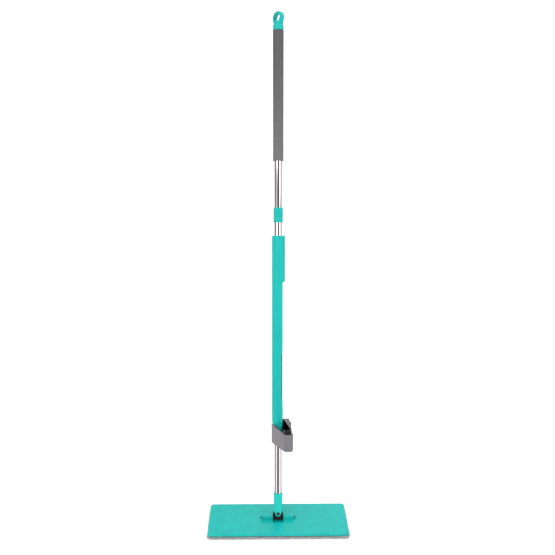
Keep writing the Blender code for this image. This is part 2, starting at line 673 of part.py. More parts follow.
def wing_line(shift, along):
    """Return a point along the inner wing, shifted inwards, measured from where it leaves the pole."""
    radius = SLEEVE_LAP_RADIUS + GAP
    corner_x, corner_q = WRINGER_SHOULDER_X + 0.0010, WRINGER_HALF_Q - WRINGER_WALL
    touch = math.atan2(corner_q, corner_x) + math.acos(radius / math.hypot(corner_x, corner_q))
    place = Vector((radius - shift, -along))
    place.rotate(Matrix.Rotation(touch, 2))
    return tuple(place)


def make_liner(material):
    """The black squeezing frame: a lining along both wings, two end plates and a thick blade."""
    half_q = WRINGER_HALF_Q - WRINGER_WALL - GAP
    start_x, inside = WRINGER_SHOULDER_X + 0.0012, half_q - LINER_WALL
    near = [wing_line(GAP, LINER_WING_REACH), (start_x, half_q)]
    back = [(start_x + 0.0004, inside), wing_line(GAP + LINER_WING, LINER_WING_REACH)]
    outline = [(x, -q) for x, q in near]
    outline += arc((LINER_OUTER_X - LINER_CORNER, LINER_CORNER - half_q), LINER_CORNER, -90.0, 0.0, 3)
    outline += arc((LINER_OUTER_X - LINER_CORNER, half_q - LINER_CORNER), LINER_CORNER, 0.0, 90.0, 3)
    outline += near[::-1] + back[::-1] + [(LINER_BLADE_X - 0.0030, inside), (LINER_BLADE_X, inside - 0.0030)]
    outline += [(LINER_BLADE_X, 0.0030 - inside), (LINER_BLADE_X - 0.0030, -inside)]
    outline += [(x, -q) for x, q in back]
    liner = prism("squeeze_frame", [outline], LINER_BOTTOM, LINER_TOP, PARTS)
    combine(liner, slope_cutter("liner_over", LINER_WING_RISE, LINER_POST_X))
    return finish(liner, SLIDER, material, 30.0)


def make_lip(name, low, material):
    """One rubber wiping lip along the squeezing blade."""
    root, tip = LINER_BLADE_X - GAP, LINER_BLADE_X - 0.0018
    section = [(root, low), (root, low + 0.0050), (tip, low + 0.0034), (tip, low + 0.0020)]
    lip = prism(name, [section], -LIP_HALF_Q, LIP_HALF_Q, PARTS)
    lip.data.transform(FACING_Q)
    return finish(lip, SLIDER, material)


# ---- the mop ------------------------------------------------------------------------------------
def build():
    """Make every piece."""
    steel = make_material("polished_steel", (0.620, 0.600, 0.610), 0.12, 1.0)
    pin_steel = make_material("pin_steel", (0.120, 0.120, 0.125), 0.35, 0.6)
    black = make_material("black_plastic", (0.020, 0.020, 0.021), 0.45)
    rubber = make_material("lip_rubber", (0.012, 0.012, 0.012), 0.70)
    white = make_material("bush_nylon", (0.700, 0.700, 0.680), 0.40)
    teal = make_material("teal_plastic", TEAL, 0.35)
    make_pad(make_material("microfibre", (0.560, 0.550, 0.560), 0.95))
    make_backing(make_material("woven_backing", (0.450, 0.450, 0.460), 0.90))
    tape = make_material("hook_tape", (0.080, 0.080, 0.085), 0.85)
    for name, middle_y in (("hook_strip_front", -HOOK_MIDDLE_Y), ("hook_strip_back", HOOK_MIDDLE_Y)):
        make_hook_strip(name, middle_y, tape)
    make_plate(teal)
    make_tilt_pin(pin_steel)
    make_tilt_clip(pin_steel)
    make_cross(black)
    make_socket(teal)
    make_fold_pin(pin_steel)
    make_fold_washer(pin_steel)
    make_tube("lower_tube", SOCKET_TOP + GAP, JOIN_HEIGHT - GAP, steel)
    make_tube("upper_tube", JOIN_HEIGHT + GAP, GRIP_TOP - 0.0005, steel)
    make_coupling_core(white)
    make_collar(teal)
    make_grip(make_material("grip_rubber", (0.190, 0.188, 0.192), 0.55))
    make_cap(teal)
    make_loop(teal)
    make_stem_clip(pin_steel)
    make_sleeve(teal)
    for name, (low, high) in BUSHES.items():
        make_bush(name, low, high, white)
    make_guide_shoe(black)
    make_housing(make_material("wringer_grey", GREY, 0.42))
    make_liner(black)
    for number, low in enumerate(LIP_BOTTOMS, start=1):
        make_lip(f"wiping_lip_{number}", low, rubber)


build()
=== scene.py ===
"""Looks of a flat squeeze mop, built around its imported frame.

The mop stands on its pad and its pole leans back. Pieces on the pole are drawn in the pole's own
frame (x across, q backwards and s up the pole, from the fold pin) and set in place by Seat; the
head's pieces are drawn where they lie. Lengths are in metres.
"""
import json
import logging
import math
from collections.abc import Callable, Sequence
from dataclasses import dataclass, field
from enum import Enum

import bmesh
import bpy
import numpy as np
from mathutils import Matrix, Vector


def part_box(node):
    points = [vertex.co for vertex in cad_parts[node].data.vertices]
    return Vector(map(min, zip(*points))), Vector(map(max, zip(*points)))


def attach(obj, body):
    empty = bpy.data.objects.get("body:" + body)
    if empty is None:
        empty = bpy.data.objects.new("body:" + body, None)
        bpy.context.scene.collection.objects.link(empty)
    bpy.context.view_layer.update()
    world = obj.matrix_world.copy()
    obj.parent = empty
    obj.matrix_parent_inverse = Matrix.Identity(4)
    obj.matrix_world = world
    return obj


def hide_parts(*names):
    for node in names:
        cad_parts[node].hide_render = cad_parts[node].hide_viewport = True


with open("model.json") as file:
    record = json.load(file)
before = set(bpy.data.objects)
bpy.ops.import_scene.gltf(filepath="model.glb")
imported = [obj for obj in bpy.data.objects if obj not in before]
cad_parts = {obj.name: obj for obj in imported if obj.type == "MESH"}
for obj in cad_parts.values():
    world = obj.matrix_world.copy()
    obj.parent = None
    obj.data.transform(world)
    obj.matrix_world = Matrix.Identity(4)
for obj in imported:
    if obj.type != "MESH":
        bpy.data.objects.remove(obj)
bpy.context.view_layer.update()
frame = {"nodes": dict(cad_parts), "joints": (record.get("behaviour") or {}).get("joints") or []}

log = logging.getLogger("flat_squeeze_mop")
Array = np.ndarray
Colour = tuple[float, float, float]

WELD = 2.0e-6


# ---- the frame's own places ---------------------------------------------------------------------
@dataclass(frozen=True)
class Seat:
    """A turned and shifted frame in which pieces are drawn.

    Attributes:
        name: Word that tells this seat's materials apart.
        origin: Place of the seat's zero point in the world.
        basis: Rows are the seat's three axes in the world.
    """

    name: str
    origin: Array
    basis: Array

    def place(self, points: Array) -> Array:
        """Return points of this seat in the world's frame."""
        return self.origin + points @ self.basis

    def extent(self, node: str) -> tuple[Array, Array]:
        """Return the lowest and highest corner of a CAD node in this seat.

        Args:
            node: Name of the CAD node.

        Returns:
            The two corners, each as (x, q, s).
        """
        mesh = frame["nodes"][node].data
        points = np.empty(len(mesh.vertices) * 3)
        mesh.vertices.foreach_get("co", points)
        local = (points.reshape(-1, 3) - self.origin) @ self.basis.T
        return local.min(axis=0), local.max(axis=0)

    @property
    def lean(self) -> float:
        """Angle from the world's upright to this seat's third axis, about X."""
        return math.atan2(self.basis[2, 1], self.basis[2, 2])


def joint(name: str) -> dict:
    """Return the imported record's joint of that name."""
    return next(found for found in frame["joints"] if found["name"] == name)


def pole_seat() -> Seat:
    """Return the pole's frame: origin on the fold axis, third axis up the pole."""
    up = np.array(joint("slider_travel")["axis"], float)
    back = -np.array(joint("pole_fold")["axis"], float)
    basis = np.stack([np.cross(back, up), back, up])
    return Seat("pole", np.array(joint("pole_fold")["pos_m"], float), basis)


def head_seat() -> Seat:
    """Return the head's frame, which is the world's own."""
    return Seat("head", np.zeros(3), np.eye(3))


# ---- surfaces -----------------------------------------------------------------------------------
@dataclass
class Patch:
    """One closed surface.

    Attributes:
        points: Places, one row each.
        quads: Four point numbers a row.
        caps: Flat faces of more corners.
    """

    points: Array
    quads: Array
    caps: list[Array] = field(default_factory=list)

    def placed(self, seat: Seat) -> "Patch":
        """Return this patch set in a seat."""
        return Patch(seat.place(self.points), self.quads, self.caps)

    def turned_by(self, basis: Array, origin: Sequence[float] = (0.0, 0.0, 0.0)) -> "Patch":
        """Return this patch with its axes laid along the rows of a basis, then shifted."""
        return Patch(self.points @ np.asarray(basis, float) + np.asarray(origin), self.quads, self.caps)

    def facing_out(self) -> "Patch":
        """Return this patch with its faces pointing out.

        The enclosed volume is the sum of the tetrahedra from the middle to each face's triangles;
        where it is negative, every face is turned round.
        """
        middle = self.points.mean(axis=0)
        fans = [self.quads[:, [0, 1, 2]], self.quads[:, [0, 2, 3]]]
        for cap in self.caps:
            first = np.full(len(cap) - 2, cap[0])
            fans.append(np.stack([first, cap[1:-1], cap[2:]], axis=1))
        corners = self.points[np.concatenate(fans)] - middle
        volume = (corners[:, 0] * np.cross(corners[:, 1], corners[:, 2])).sum()
        if volume >= 0.0:
            return self
        return Patch(self.points, self.quads[:, ::-1], [cap[::-1] for cap in self.caps])


def grid(points: Array, rows_close: bool = False, fill_ends: bool = False,
         keep: Array | None = None) -> Patch:
    """Join a grid of points whose rows are closed loops.

    Args:
        points: Places in rows and columns; each row's last point joins its first.
        rows_close: The last row joins the first.
        fill_ends: The first and last rows become flat faces.
        keep: Marks the four-sided faces that stay, by row and column.

    Returns:
        The surface.
    """
    rows, columns = points.shape[:2]
    index = np.arange(rows * columns).reshape(rows, columns)
    below, right = np.roll(index, -1, axis=0), np.roll(index, -1, axis=1)
    quads = np.stack([index, right, np.roll(below, -1, axis=1), below], axis=-1)
    kept = np.ones((rows, columns), bool) if keep is None else keep
    if not rows_close:
        quads, kept = quads[:-1], kept[:-1]
    caps = [index[0, ::-1], index[-1]] if fill_ends else []
    return Patch(points.reshape(-1, 3), quads[kept], caps)


def unit(vectors: Array) -> Array:
    """Return vectors at length one."""
    return vectors / np.maximum(np.linalg.norm(vectors, axis=-1, keepdims=True), 1e-12)


def filleted(corners: Sequence[Sequence[float]], radii: float | Sequence[float], steps: int = 5,
             closed: bool = True) -> Array:
    """Round an outline's corners to circular arcs.

    Each corner C becomes ((1-t)^2 A + 2 w t(1-t) C + t^2 B) / ((1-t)^2 + 2 w t(1-t) + t^2), from
    one tangent point A to the other B, where w is the sine of half the corner's angle.

    Args:
        corners: The outline's corners.
        radii: Arc radius, one for all or one a corner.
        steps: Stretches in each arc.
        closed: The last corner joins the first; if not, the two ends stay sharp.

    Returns:
        The outline's points, without repeats.
    """
    corner = np.asarray(corners, float)
    radius = np.broadcast_to(np.asarray(radii, float), len(corner)).copy()
    if not closed:
        radius[[0, -1]] = 0.0
    before = unit(np.roll(corner, 1, axis=0) - corner)
    after = unit(np.roll(corner, -1, axis=0) - corner)
    half = np.arccos(np.clip((before * after).sum(axis=1), -1.0, 1.0)) / 2.0
    reach = (radius / np.tan(np.maximum(half, 1e-6)))[:, None]
    start, end = (corner + before * reach)[:, None], (corner + after * reach)[:, None]
    t = np.linspace(0.0, 1.0, steps + 1)[None, :, None]
    weight = 2.0 * np.sin(half)[:, None, None] * t * (1.0 - t)
    points = (1.0 - t) ** 2 * start + weight * corner[:, None] + t**2 * end
    points = (points / ((1.0 - t) ** 2 + weight + t**2)).reshape(-1, 2)
    step = np.linalg.norm(points - np.roll(points, 1, axis=0), axis=1)
    return points[step > WELD] if closed else points[np.r_[True, step[1:] > WELD]]


def turned(outline: Array, sides: int = 96, hollow: bool = True) -> Patch:
    """Turn an outline of (radius, height): each point becomes (r cos a, r sin a, h)."""
    angle = np.linspace(0.0, 2.0 * math.pi, sides, endpoint=False)
    radius, height = outline[:, :1], outline[:, 1:]
    points = np.stack([radius * np.cos(angle), radius * np.sin(angle), height + 0.0 * angle], axis=-1)
    return grid(points, rows_close=hollow)


def inset(outline: Array, distance: float) -> Array:
    """Move a closed outline inwards: each point goes along the mitre of its two edges' normals."""
    edge = unit(np.roll(outline, -1, axis=0) - outline)
    normal = np.stack([-edge[:, 1], edge[:, 0]], axis=1)
    area = (outline[:, 0] * np.roll(outline[:, 1], -1) - outline[:, 1] * np.roll(outline[:, 0], -1)).sum()
    previous = np.roll(normal, 1, axis=0)
    mitre = (normal + previous) / (1.0 + (normal * previous).sum(axis=1, keepdims=True))
    return outline + math.copysign(distance, area) * mitre


def extruded(outline: Array, low: float, high: float, edge: float = 0.0004, steps: int = 3) -> Patch:
    """Carry a closed outline from one height to another with quarter-round ends.

    At angle a of the rounding the outline is inset by edge (1 - cos a) and stands
    edge (1 - sin a) short of the end.
    """
    angle = np.linspace(0.0, math.pi / 2.0, steps + 1)
    insets = edge * (1.0 - np.cos(angle))
    short = edge * (1.0 - np.sin(angle))
    shrink = np.concatenate([insets[::-1], insets])
    height = np.concatenate([low + short[::-1], high - short])
    rows = [np.column_stack([inset(outline, s), np.full(len(outline), h)])
            for s, h in zip(shrink, height)]
    return grid(np.stack(rows), fill_ends=True)


def rounded_ends(low: float, high: float, edge: float, wall: float, steps: int = 3) -> tuple[Array, Array]:
    """Return heights and wall insets that close a wall at both ends with rounded edges."""
    angle = np.linspace(0.0, math.pi / 2.0, steps + 1)
    short = np.append(edge * (1.0 - np.sin(angle)), 0.0)
    shrink = np.append(edge * (1.0 - np.cos(angle)), wall / 2.0)
    return np.concatenate([low + short[::-1], high - short]), np.concatenate([shrink[::-1], shrink])


def channel(height: Array, outer: Array, inner: Array, opening: Array, sides: int = 72,
            lip_steps: int = 4, shift: Array | float = 0.0) -> Patch:
    """Carry a C-shaped wall, open towards the first axis, up the third axis.

    A row runs along the outer arc from the angle of opening round to its mirror, over a half-round
    lip, back along the inner arc and over the other lip. Where the opening is zero the lips meet,
    so their faces are left out and the wall is a whole ring.

    Args:
        height: Height of each row.
        outer: Outer radius of each row.
        inner: Inner radius of each row.
        opening: Half angle of the gap at each row.
        sides: Points in each arc.
        lip_steps: Stretches in each lip.
        shift: How far the outer arc's centre stands towards the first axis at each row.

    Returns:
        The surface.
    """
    middle, half = (outer + inner)[:, None] / 2.0, (outer - inner)[:, None] / 2.0
    share = np.linspace(0.0, 1.0, sides)
    sweep = np.linspace(0.0, math.pi, lip_steps + 1)[1:-1]
    start = opening[:, None]
    arc = start + share * (2.0 * math.pi - 2.0 * start)
    bulge = np.minimum(1.0, start / 0.05) * half * np.sin(sweep) / middle
    turn = np.concatenate([arc, arc[:, -1:] + bulge, arc[:, ::-1], start - bulge], axis=1)
    one = np.ones_like(share)
    radius = np.concatenate([middle + half * one, middle + half * np.cos(sweep),
                             middle - half * one, middle - half * np.cos(sweep)], axis=1)
    aside = np.zeros_like(turn)
    aside[:, :sides] = np.broadcast_to(shift, height.shape)[:, None]
    points = np.stack([radius * np.cos(turn) + aside, radius * np.sin(turn),
                       height[:, None] + 0.0 * turn], axis=-1)
    shut = (opening <= 0.0) & (np.roll(opening, -1) <= 0.0)
    lips = np.zeros(turn.shape[1], bool)
    lips[sides - 1:sides - 1 + lip_steps] = True
    lips[2 * sides + lip_steps - 2:] = True
    return grid(points, keep=~(shut[:, None] & lips[None, :]))


# ---- moulded forms given by a distance ----------------------------------------------------------
def smooth_join(first: Array, second: Array, blend: float) -> Array:
    """Return the union of two distances with a fillet: the smaller, less h^2 / 4 blend."""
    overlap = np.maximum(blend - np.abs(first - second), 0.0)
    return np.minimum(first, second) - overlap**2 / (4.0 * blend)


def smooth_cut(first: Array, second: Array, blend: float) -> Array:
    """Return the first distance with the second shape taken away and the rim rounded."""
    return -smooth_join(-first, second, blend)


def disc_distance(radial: Array, along: Array, radius: Array | float, half: float, edge: float) -> Array:
    """Return the distance to a round disc with rounded rims, from its radial and axial places."""
    out = np.stack([radial - radius + edge, np.abs(along) - half + edge])
    return np.minimum(out.max(axis=0), 0.0) + np.linalg.norm(np.maximum(out, 0.0), axis=0) - edge


def block_distance(points: Array, middle: Sequence[float], half: Sequence[float], edge: float) -> Array:
    """Return the distance to a box with rounded edges."""
    out = np.abs(points - np.asarray(middle)) - np.asarray(half) + edge
    return np.minimum(out.max(axis=-1), 0.0) + np.linalg.norm(np.maximum(out, 0.0), axis=-1) - edge


@dataclass(frozen=True)
class Mould:
    """A moulded solid where several volumes run into each other, given by its distance.

    Attributes:
        distance: Signed distance to the surface for an array of places, negative inside.
        low: Lowest corner of a box that holds the solid.
        high: Highest corner of that box.
        step: Size of the lattice's cells.
    """

    distance: Callable[[Array], Array]
    low: tuple[float, float, float]
    high: tuple[float, float, float]
    step: float

    def patch(self) -> Patch:
        """Return the surface as a net.

        Each lattice cell that the surface passes has one point, the mean of the places where it
        crosses the cell's edges, and each crossed edge has one face between its four cells. The
        points are then moved along the distance's slope onto the surface.
        """
        ticks = [np.arange(a, b + self.step, self.step) for a, b in zip(self.low, self.high)]
        lattice = np.stack(np.meshgrid(*ticks, indexing="ij"), axis=-1)
        value = self.distance(lattice)
        inside = value < 0.0
        cells = np.array(value.shape) - 1
        total, count = np.zeros((*cells, 3)), np.zeros(cells)
        edges = []
        for axis in range(3):
            near = tuple(slice(None, -1) if k == axis else slice(1, -1) for k in range(3))
            far = tuple(slice(1, None) if k == axis else slice(1, -1) for k in range(3))
            crossed = inside[near] != inside[far]
            share = value[near] / np.where(crossed, value[near] - value[far], 1.0)
            place = lattice[near] + share[..., None] * (lattice[far] - lattice[near])
            around = [(axis + 1) % 3, (axis + 2) % 3]
            for first in (0, 1):
                for second in (0, 1):
                    shift = {around[0]: first, around[1]: second}
                    cell = tuple(slice(None) if k == axis else
                                 slice(1 - shift[k], cells[k] - shift[k]) for k in range(3))
                    total[cell] += np.where(crossed[..., None], place, 0.0)
                    count[cell] += crossed
            edges.append((around, np.argwhere(crossed), inside[near][crossed]))
        number = np.full(cells, -1)
        number[count > 0] = np.arange(int((count > 0).sum()))
        points = total[count > 0] / count[count > 0][:, None]
        quads = [self._faces(number, *edge) for edge in edges]
        return Patch(self._settled(points), np.concatenate(quads))

    @staticmethod
    def _faces(number: Array, around: list[int], crossed: Array, leaving: Array) -> Array:
        """Return the faces round the crossed edges of one axis, turned by which end is inside."""
        corner = crossed.copy()
        corner[:, around] += 1
        steps = ((1, 1), (0, 1), (0, 0), (1, 0))
        found = []
        for first, second in steps:
            cell = corner.copy()
            cell[:, around[0]] -= first
            cell[:, around[1]] -= second
            found.append(number[tuple(cell.T)])
        quads = np.stack(found, axis=1)
        return np.where(leaving[:, None], quads, quads[:, ::-1])

    def _settled(self, points: Array) -> Array:
        """Return points moved onto the surface by three steps of at most a third of a cell."""
        reach = self.step * 0.05
        for _ in range(3):
            shifts = np.eye(3) * reach
            slope = np.stack([self.distance(points + s) - self.distance(points - s) for s in shifts],
                             axis=-1) / (2.0 * reach)
            move = self.distance(points)[:, None] * slope
            move /= np.maximum((slope**2).sum(axis=1, keepdims=True), 0.05)
            points = points - np.clip(move, -self.step / 3.0, self.step / 3.0)
        return points


# ---- shader wiring ------------------------------------------------------------------------------
class Wire:
    """A shader value that Python's operators work on."""

    def __init__(self, board: "Board", socket: bpy.types.NodeSocket) -> None:
        """Keep the board and the output socket."""
        self.board = board
        self.socket = socket

    def _math(self, operation: str, *values: "Wire | float") -> "Wire":
        """Add one Math node on the given values."""
        return self.board.node("ShaderNodeMath", {"operation": operation}, dict(enumerate(values)))

    def __add__(self, other: "Wire | float") -> "Wire":
        """Add."""
        return self._math("ADD", self, other)

    def __sub__(self, other: "Wire | float") -> "Wire":
        """Take away."""
        return self._math("SUBTRACT", self, other)

    def __rsub__(self, other: float) -> "Wire":
        """Take this from a number."""
        return self._math("SUBTRACT", other, self)

    def __mul__(self, other: "Wire | float") -> "Wire":
        """Multiply."""
        return self._math("MULTIPLY", self, other)

    __radd__ = __add__
    __rmul__ = __mul__

    def between(self, low: float, high: float) -> "Wire":
        """Return a smooth rise from 0 at the low value to 1 at the high one."""
        return self.board.node("ShaderNodeMapRange", {"interpolation_type": "SMOOTHSTEP"},
                               {"Value": self, "From Min": low, "From Max": high})

    def sine(self) -> "Wire":
        """Return the sine."""
        return self._math("SINE", self)


class Board:
    """A material's nodes, with one way to add any of them."""

    def __init__(self, name: str) -> None:
        """Start a material with a Principled shader and nothing linked to it."""
        self.material = bpy.data.materials.new(name)
        self.material.use_nodes = True
        self.tree = self.material.node_tree
        self.shader = self.tree.nodes["Principled BSDF"]

    def node(self, kind: str, settings: dict, sockets: dict, output: int | str = 0) -> Wire:
        """Add a node.

        Args:
            kind: The node's type.
            settings: Its own settings, made before its sockets.
            sockets: Values or wires for its inputs, by name or number.
            output: Which output to return.

        Returns:
            That output.
        """
        made = self.tree.nodes.new(kind)
        for key, value in settings.items():
            setattr(made, key, value)
        for key, value in sockets.items():
            self.feed(made.inputs[key], value)
        return Wire(self, made.outputs[output])

    def feed(self, socket: bpy.types.NodeSocket, value: object) -> None:
        """Link a wire to a socket, or set the socket's own value."""
        if isinstance(value, Wire):
            self.tree.links.new(value.socket, socket)
        else:
            socket.default_value = value

    def coordinates(self, seat: Seat, scale: Sequence[float] = (1.0, 1.0, 1.0)) -> Wire:
        """Return object coordinates turned into a seat and stretched."""
        plain = self.node("ShaderNodeTexCoord", {}, {}, "Object")
        turn = (seat.lean, 0.0, 0.0)
        shift = -(seat.basis @ seat.origin)
        seated = self.node("ShaderNodeMapping", {}, {"Vector": plain, "Rotation": turn, "Location": shift})
        return self.node("ShaderNodeVectorMath", {"operation": "MULTIPLY"}, {0: seated, 1: scale})

    def noise(self, place: Wire, scale: float, detail: float = 3.0, roughness: float = 0.5) -> Wire:
        """Return a noise value from 0 to 1."""
        return self.node("ShaderNodeTexNoise", {},
                         {"Vector": place, "Scale": scale, "Detail": detail, "Roughness": roughness})

    def blend(self, factor: Wire | float, first: Colour | Wire, second: Colour | Wire) -> Wire:
        """Return a mix of two colours."""
        ends = [c if isinstance(c, Wire) else (*c, 1.0) for c in (first, second)]
        return self.node("ShaderNodeMix", {"data_type": "RGBA"}, {0: factor, 6: ends[0], 7: ends[1]}, 2)

    def bump(self, height: Wire, distance: float, strength: float = 1.0, under: Wire | None = None) -> Wire:
        """Return a normal raised by a height of 0 to 1 times a distance."""
        sockets = {"Height": height, "Distance": distance, "Strength": strength}
        if under is not None:
            sockets["Normal"] = under
        return self.node("ShaderNodeBump", {}, sockets, "Normal")

    def finish(self, varying: dict, constant: dict) -> bpy.types.Material:
        """Feed the shader's varying sockets, set its constant ones and return the material."""
        for key, value in {**varying, **constant}.items():
            self.feed(self.shader.inputs[key], value)
        return self.material


def tinted(colour: Colour, factor: float) -> Colour:
    """Return a colour times a number, at most 1."""
    return tuple(min(1.0, part * factor) for part in colour)


# ---- finishes -----------------------------------------------------------------------------------
@dataclass(frozen=True)
class Moulded:
    """Moulded plastic: a soft gloss over fine spark-eroded grain, with faint flow in the colour.

    Attributes:
        name: Finish name.
        colour: Plain colour.
        roughness: Mean roughness.
        mottle: Share by which the colour varies.
        grain: Height of the surface grain.
        rub: Share by which rubbed places are lighter.
    """

    name: str
    colour: Colour
    roughness: float = 0.34
    mottle: float = 0.05
    grain: float = 0.000018
    rub: float = 0.05

    def material(self, seat: Seat) -> bpy.types.Material:
        """Return the material in a seat."""
        board = Board(f"{self.name}_{seat.name}")
        place = board.coordinates(seat)
        flow = board.noise(board.coordinates(seat, (1.0, 1.0, 0.25)), 38.0, 2.0)
        rubs = board.noise(place, 210.0, 5.0, 0.62).between(0.60, 0.78)
        dark, light = tinted(self.colour, 1.0 - self.mottle), tinted(self.colour, 1.0 + self.mottle)
        pale = tuple(part + (1.0 - part) * self.rub for part in light)
        colour = board.blend(rubs * 0.5, board.blend(flow.between(0.3, 0.7), dark, light), pale)
        grain = board.noise(place, 2600.0, 2.0, 0.6)
        sink = board.noise(place, 55.0, 1.0)
        normal = board.bump(grain, self.grain, 0.6, board.bump(sink, 0.00025, 0.25))
        rough = self.roughness + (flow - 0.5) * 0.10 + rubs * 0.08
        return board.finish({"Base Color": colour, "Roughness": rough, "Normal": normal},
                            {"IOR": 1.49, "Specular IOR Level": 0.28})


@dataclass(frozen=True)
class DrawnSteel:
    """Polished steel tube: bright, with hair-fine lines along its length and faint smudges.

    Attributes:
        name: Finish name.
        colour: Colour of the bare metal.
        roughness: Roughness where it is cleanest.
    """

    name: str
    colour: Colour
    roughness: float = 0.07

    def material(self, seat: Seat) -> bpy.types.Material:
        """Return the material in a seat."""
        board = Board(f"{self.name}_{seat.name}")
        lines = board.noise(board.coordinates(seat, (1.0, 1.0, 0.012)), 1500.0, 3.0, 0.6)
        smudge = board.noise(board.coordinates(seat, (1.0, 1.0, 0.45)), 42.0, 4.0, 0.6).between(0.45, 0.8)
        colour = board.blend(smudge, self.colour, tinted(self.colour, 0.93))
        rough = self.roughness + (lines - 0.5) * 0.05 + smudge * 0.07
        return board.finish({"Base Color": colour, "Roughness": rough,
                             "Normal": board.bump(lines, 0.000004, 0.5)}, {"Metallic": 1.0})


@dataclass(frozen=True)
class Rubber:
    """Soft rubber or foam: fine closed pores, dry and slightly dusty, with painted shade that can darken it
    towards the top.

    Attributes:
        name: Finish name.
        colour: Plain colour.
        roughness: Mean roughness.
        pore: Depth of the pores.
        painted_shade: Heights where the painted shade starts and stops darkening the colour, and the colour's
            share at the upper one.
    """

    name: str
    colour: Colour
    roughness: float = 0.55
    pore: float = 0.00007
    painted_shade: tuple[float, float, float] = (0.0, 1.0, 1.0)

    def material(self, seat: Seat) -> bpy.types.Material:
        """Return the material in a seat."""
        board = Board(f"{self.name}_{seat.name}")
        place = board.coordinates(seat)
        cells = board.node("ShaderNodeTexVoronoi", {}, {"Vector": place, "Scale": 900.0}, "Distance")
        dust = board.noise(place, 130.0, 5.0, 0.65).between(0.35, 0.75)
        speck = board.noise(place, 1900.0, 2.0).between(0.35, 0.7)
        body = board.blend(speck, tinted(self.colour, 0.88), tinted(self.colour, 1.10))
        worn = board.blend(dust * 0.35, body, tinted(self.colour, 1.35))
        # Painted shade: the colour is multiplied darker with height, down to the given share at the upper
        # height.
        height = board.node("ShaderNodeSeparateXYZ", {}, {"Vector": place}, "Z")
        low, high, share = self.painted_shade
        colour = board.node("ShaderNodeMix", {"data_type": "RGBA", "blend_type": "MULTIPLY"},
                            {0: height.between(low, high), 6: worn, 7: (share, share, share, 1.0)}, 2)
        normal = board.bump(cells, self.pore, 0.7, board.bump(dust, 0.00012, 0.3))
        return board.finish({"Base Color": colour, "Roughness": self.roughness + (dust - 0.5) * 0.12,
                             "Normal": normal}, {})


class Weave(Enum):
    """How a textile's threads lie."""

    PILE = "twisted pile"
    WOVEN = "plain weave"
    HOOKS = "rows of small hooks"


@dataclass(frozen=True)
class Textile:
    """Cloth whose threads show, with painted shade in the low places between them.

    Attributes:
        name: Finish name.
        colour: Plain colour.
        weave: How the threads lie.
        pitch: Distance from thread to thread.
        depth: Depth between threads.
    """

    name: str
    colour: Colour
    weave: Weave
    pitch: float = 0.0012
    depth: float = 0.0002

    def material(self, seat: Seat) -> bpy.types.Material:
        """Return the material in a seat."""
        board = Board(f"{self.name}_{seat.name}")
        place = board.coordinates(seat)
        fibre = board.noise(place, 1700.0, 4.0, 0.7)
        tone = board.noise(place, 160.0, 3.0, 0.6)
        height = self._threads(board, place, fibre)
        body = board.blend(tone.between(0.3, 0.7), tinted(self.colour, 0.80), tinted(self.colour, 1.14))
        # Painted shade: the low places between threads are darkened towards 0.55 of the colour.
        colour = board.blend(height * 0.8 + fibre * 0.2, tinted(self.colour, 0.55), body)
        return board.finish({"Base Color": colour, "Roughness": 0.86 + fibre * 0.12,
                             "Normal": board.bump(height, self.depth, 0.9)},
                            {"Sheen Weight": 0.35, "Sheen Roughness": 0.6})

    def _threads(self, board: Board, place: Wire, fibre: Wire) -> Wire:
        """Return the height of the threads from 0 to 1."""
        if self.weave is Weave.PILE:
            clumps = board.node("ShaderNodeTexVoronoi", {}, {"Vector": place, "Scale": 0.55 / self.pitch},
                                "Distance")
            return (1.0 - clumps) * 0.7 + fibre * 0.3
        apart = board.node("ShaderNodeSeparateXYZ", {}, {"Vector": place}, 0)
        along, across = apart, Wire(board, apart.socket.node.outputs[1])
        turn = 2.0 * math.pi / self.pitch
        warp, weft = (along * turn).sine(), (across * turn).sine()
        if self.weave is Weave.WOVEN:
            return warp * weft * 0.5 + 0.5
        return warp.between(0.1, 0.9) * weft.between(0.1, 0.9)


class Finish(Enum):
    """The mop's finishes, named as the record's material slots."""

    TEAL = ("teal_plastic", Moulded("teal_plastic", (0.003, 0.440, 0.400)))
    # A lighter copy of teal_plastic for the fork socket: painted light.
    TEAL_SOCKET = ("teal_plastic", Moulded("teal_socket_lit", (0.014, 0.545, 0.480), 0.34))
    STEEL = ("polished_steel", DrawnSteel("polished_steel", (0.74, 0.69, 0.71)))
    PIN = ("pin_steel", DrawnSteel("pin_steel", (0.16, 0.16, 0.165), 0.30))
    # The grip's colour darkens towards its top: painted shade.
    GRIP = ("grip_rubber", Rubber("grip_rubber", (0.165, 0.165, 0.168), painted_shade=(0.70, 1.20, 0.47)))
    GREY = ("grey_plastic", Moulded("grey_plastic", (0.182, 0.173, 0.192), 0.44, 0.03))
    BLACK = ("black_plastic", Moulded("black_plastic", (0.014, 0.014, 0.015), 0.42, 0.10))
    LIP = ("lip_rubber", Rubber("lip_rubber", (0.012, 0.012, 0.012), 0.62))
    NYLON = ("nylon", Moulded("nylon", (0.70, 0.70, 0.68), 0.40, 0.02))
    HOOKS = ("hook_tape", Textile("hook_tape", (0.08, 0.08, 0.085), Weave.HOOKS, 0.0014, 0.0004))
    BACKING = ("woven_backing", Textile("woven_backing", (0.45, 0.45, 0.46), Weave.WOVEN, 0.0011))
    BINDING = ("woven_backing", Textile("edge_binding", (0.50, 0.51, 0.52), Weave.WOVEN, 0.0016))
    PILE = ("microfibre", Textile("microfibre", (0.47, 0.465, 0.475), Weave.PILE, 0.0016, 0.0006))

    @property
    def slot(self) -> str:
        """Name of the record's material slot."""
        return self.value[0]

    def material(self, seat: Seat) -> bpy.types.Material:
        """Return this finish's material in a seat, made once."""
        made = bpy.data.materials.get(f"{self.value[1].name}_{seat.name}")
        return made or self.value[1].material(seat)


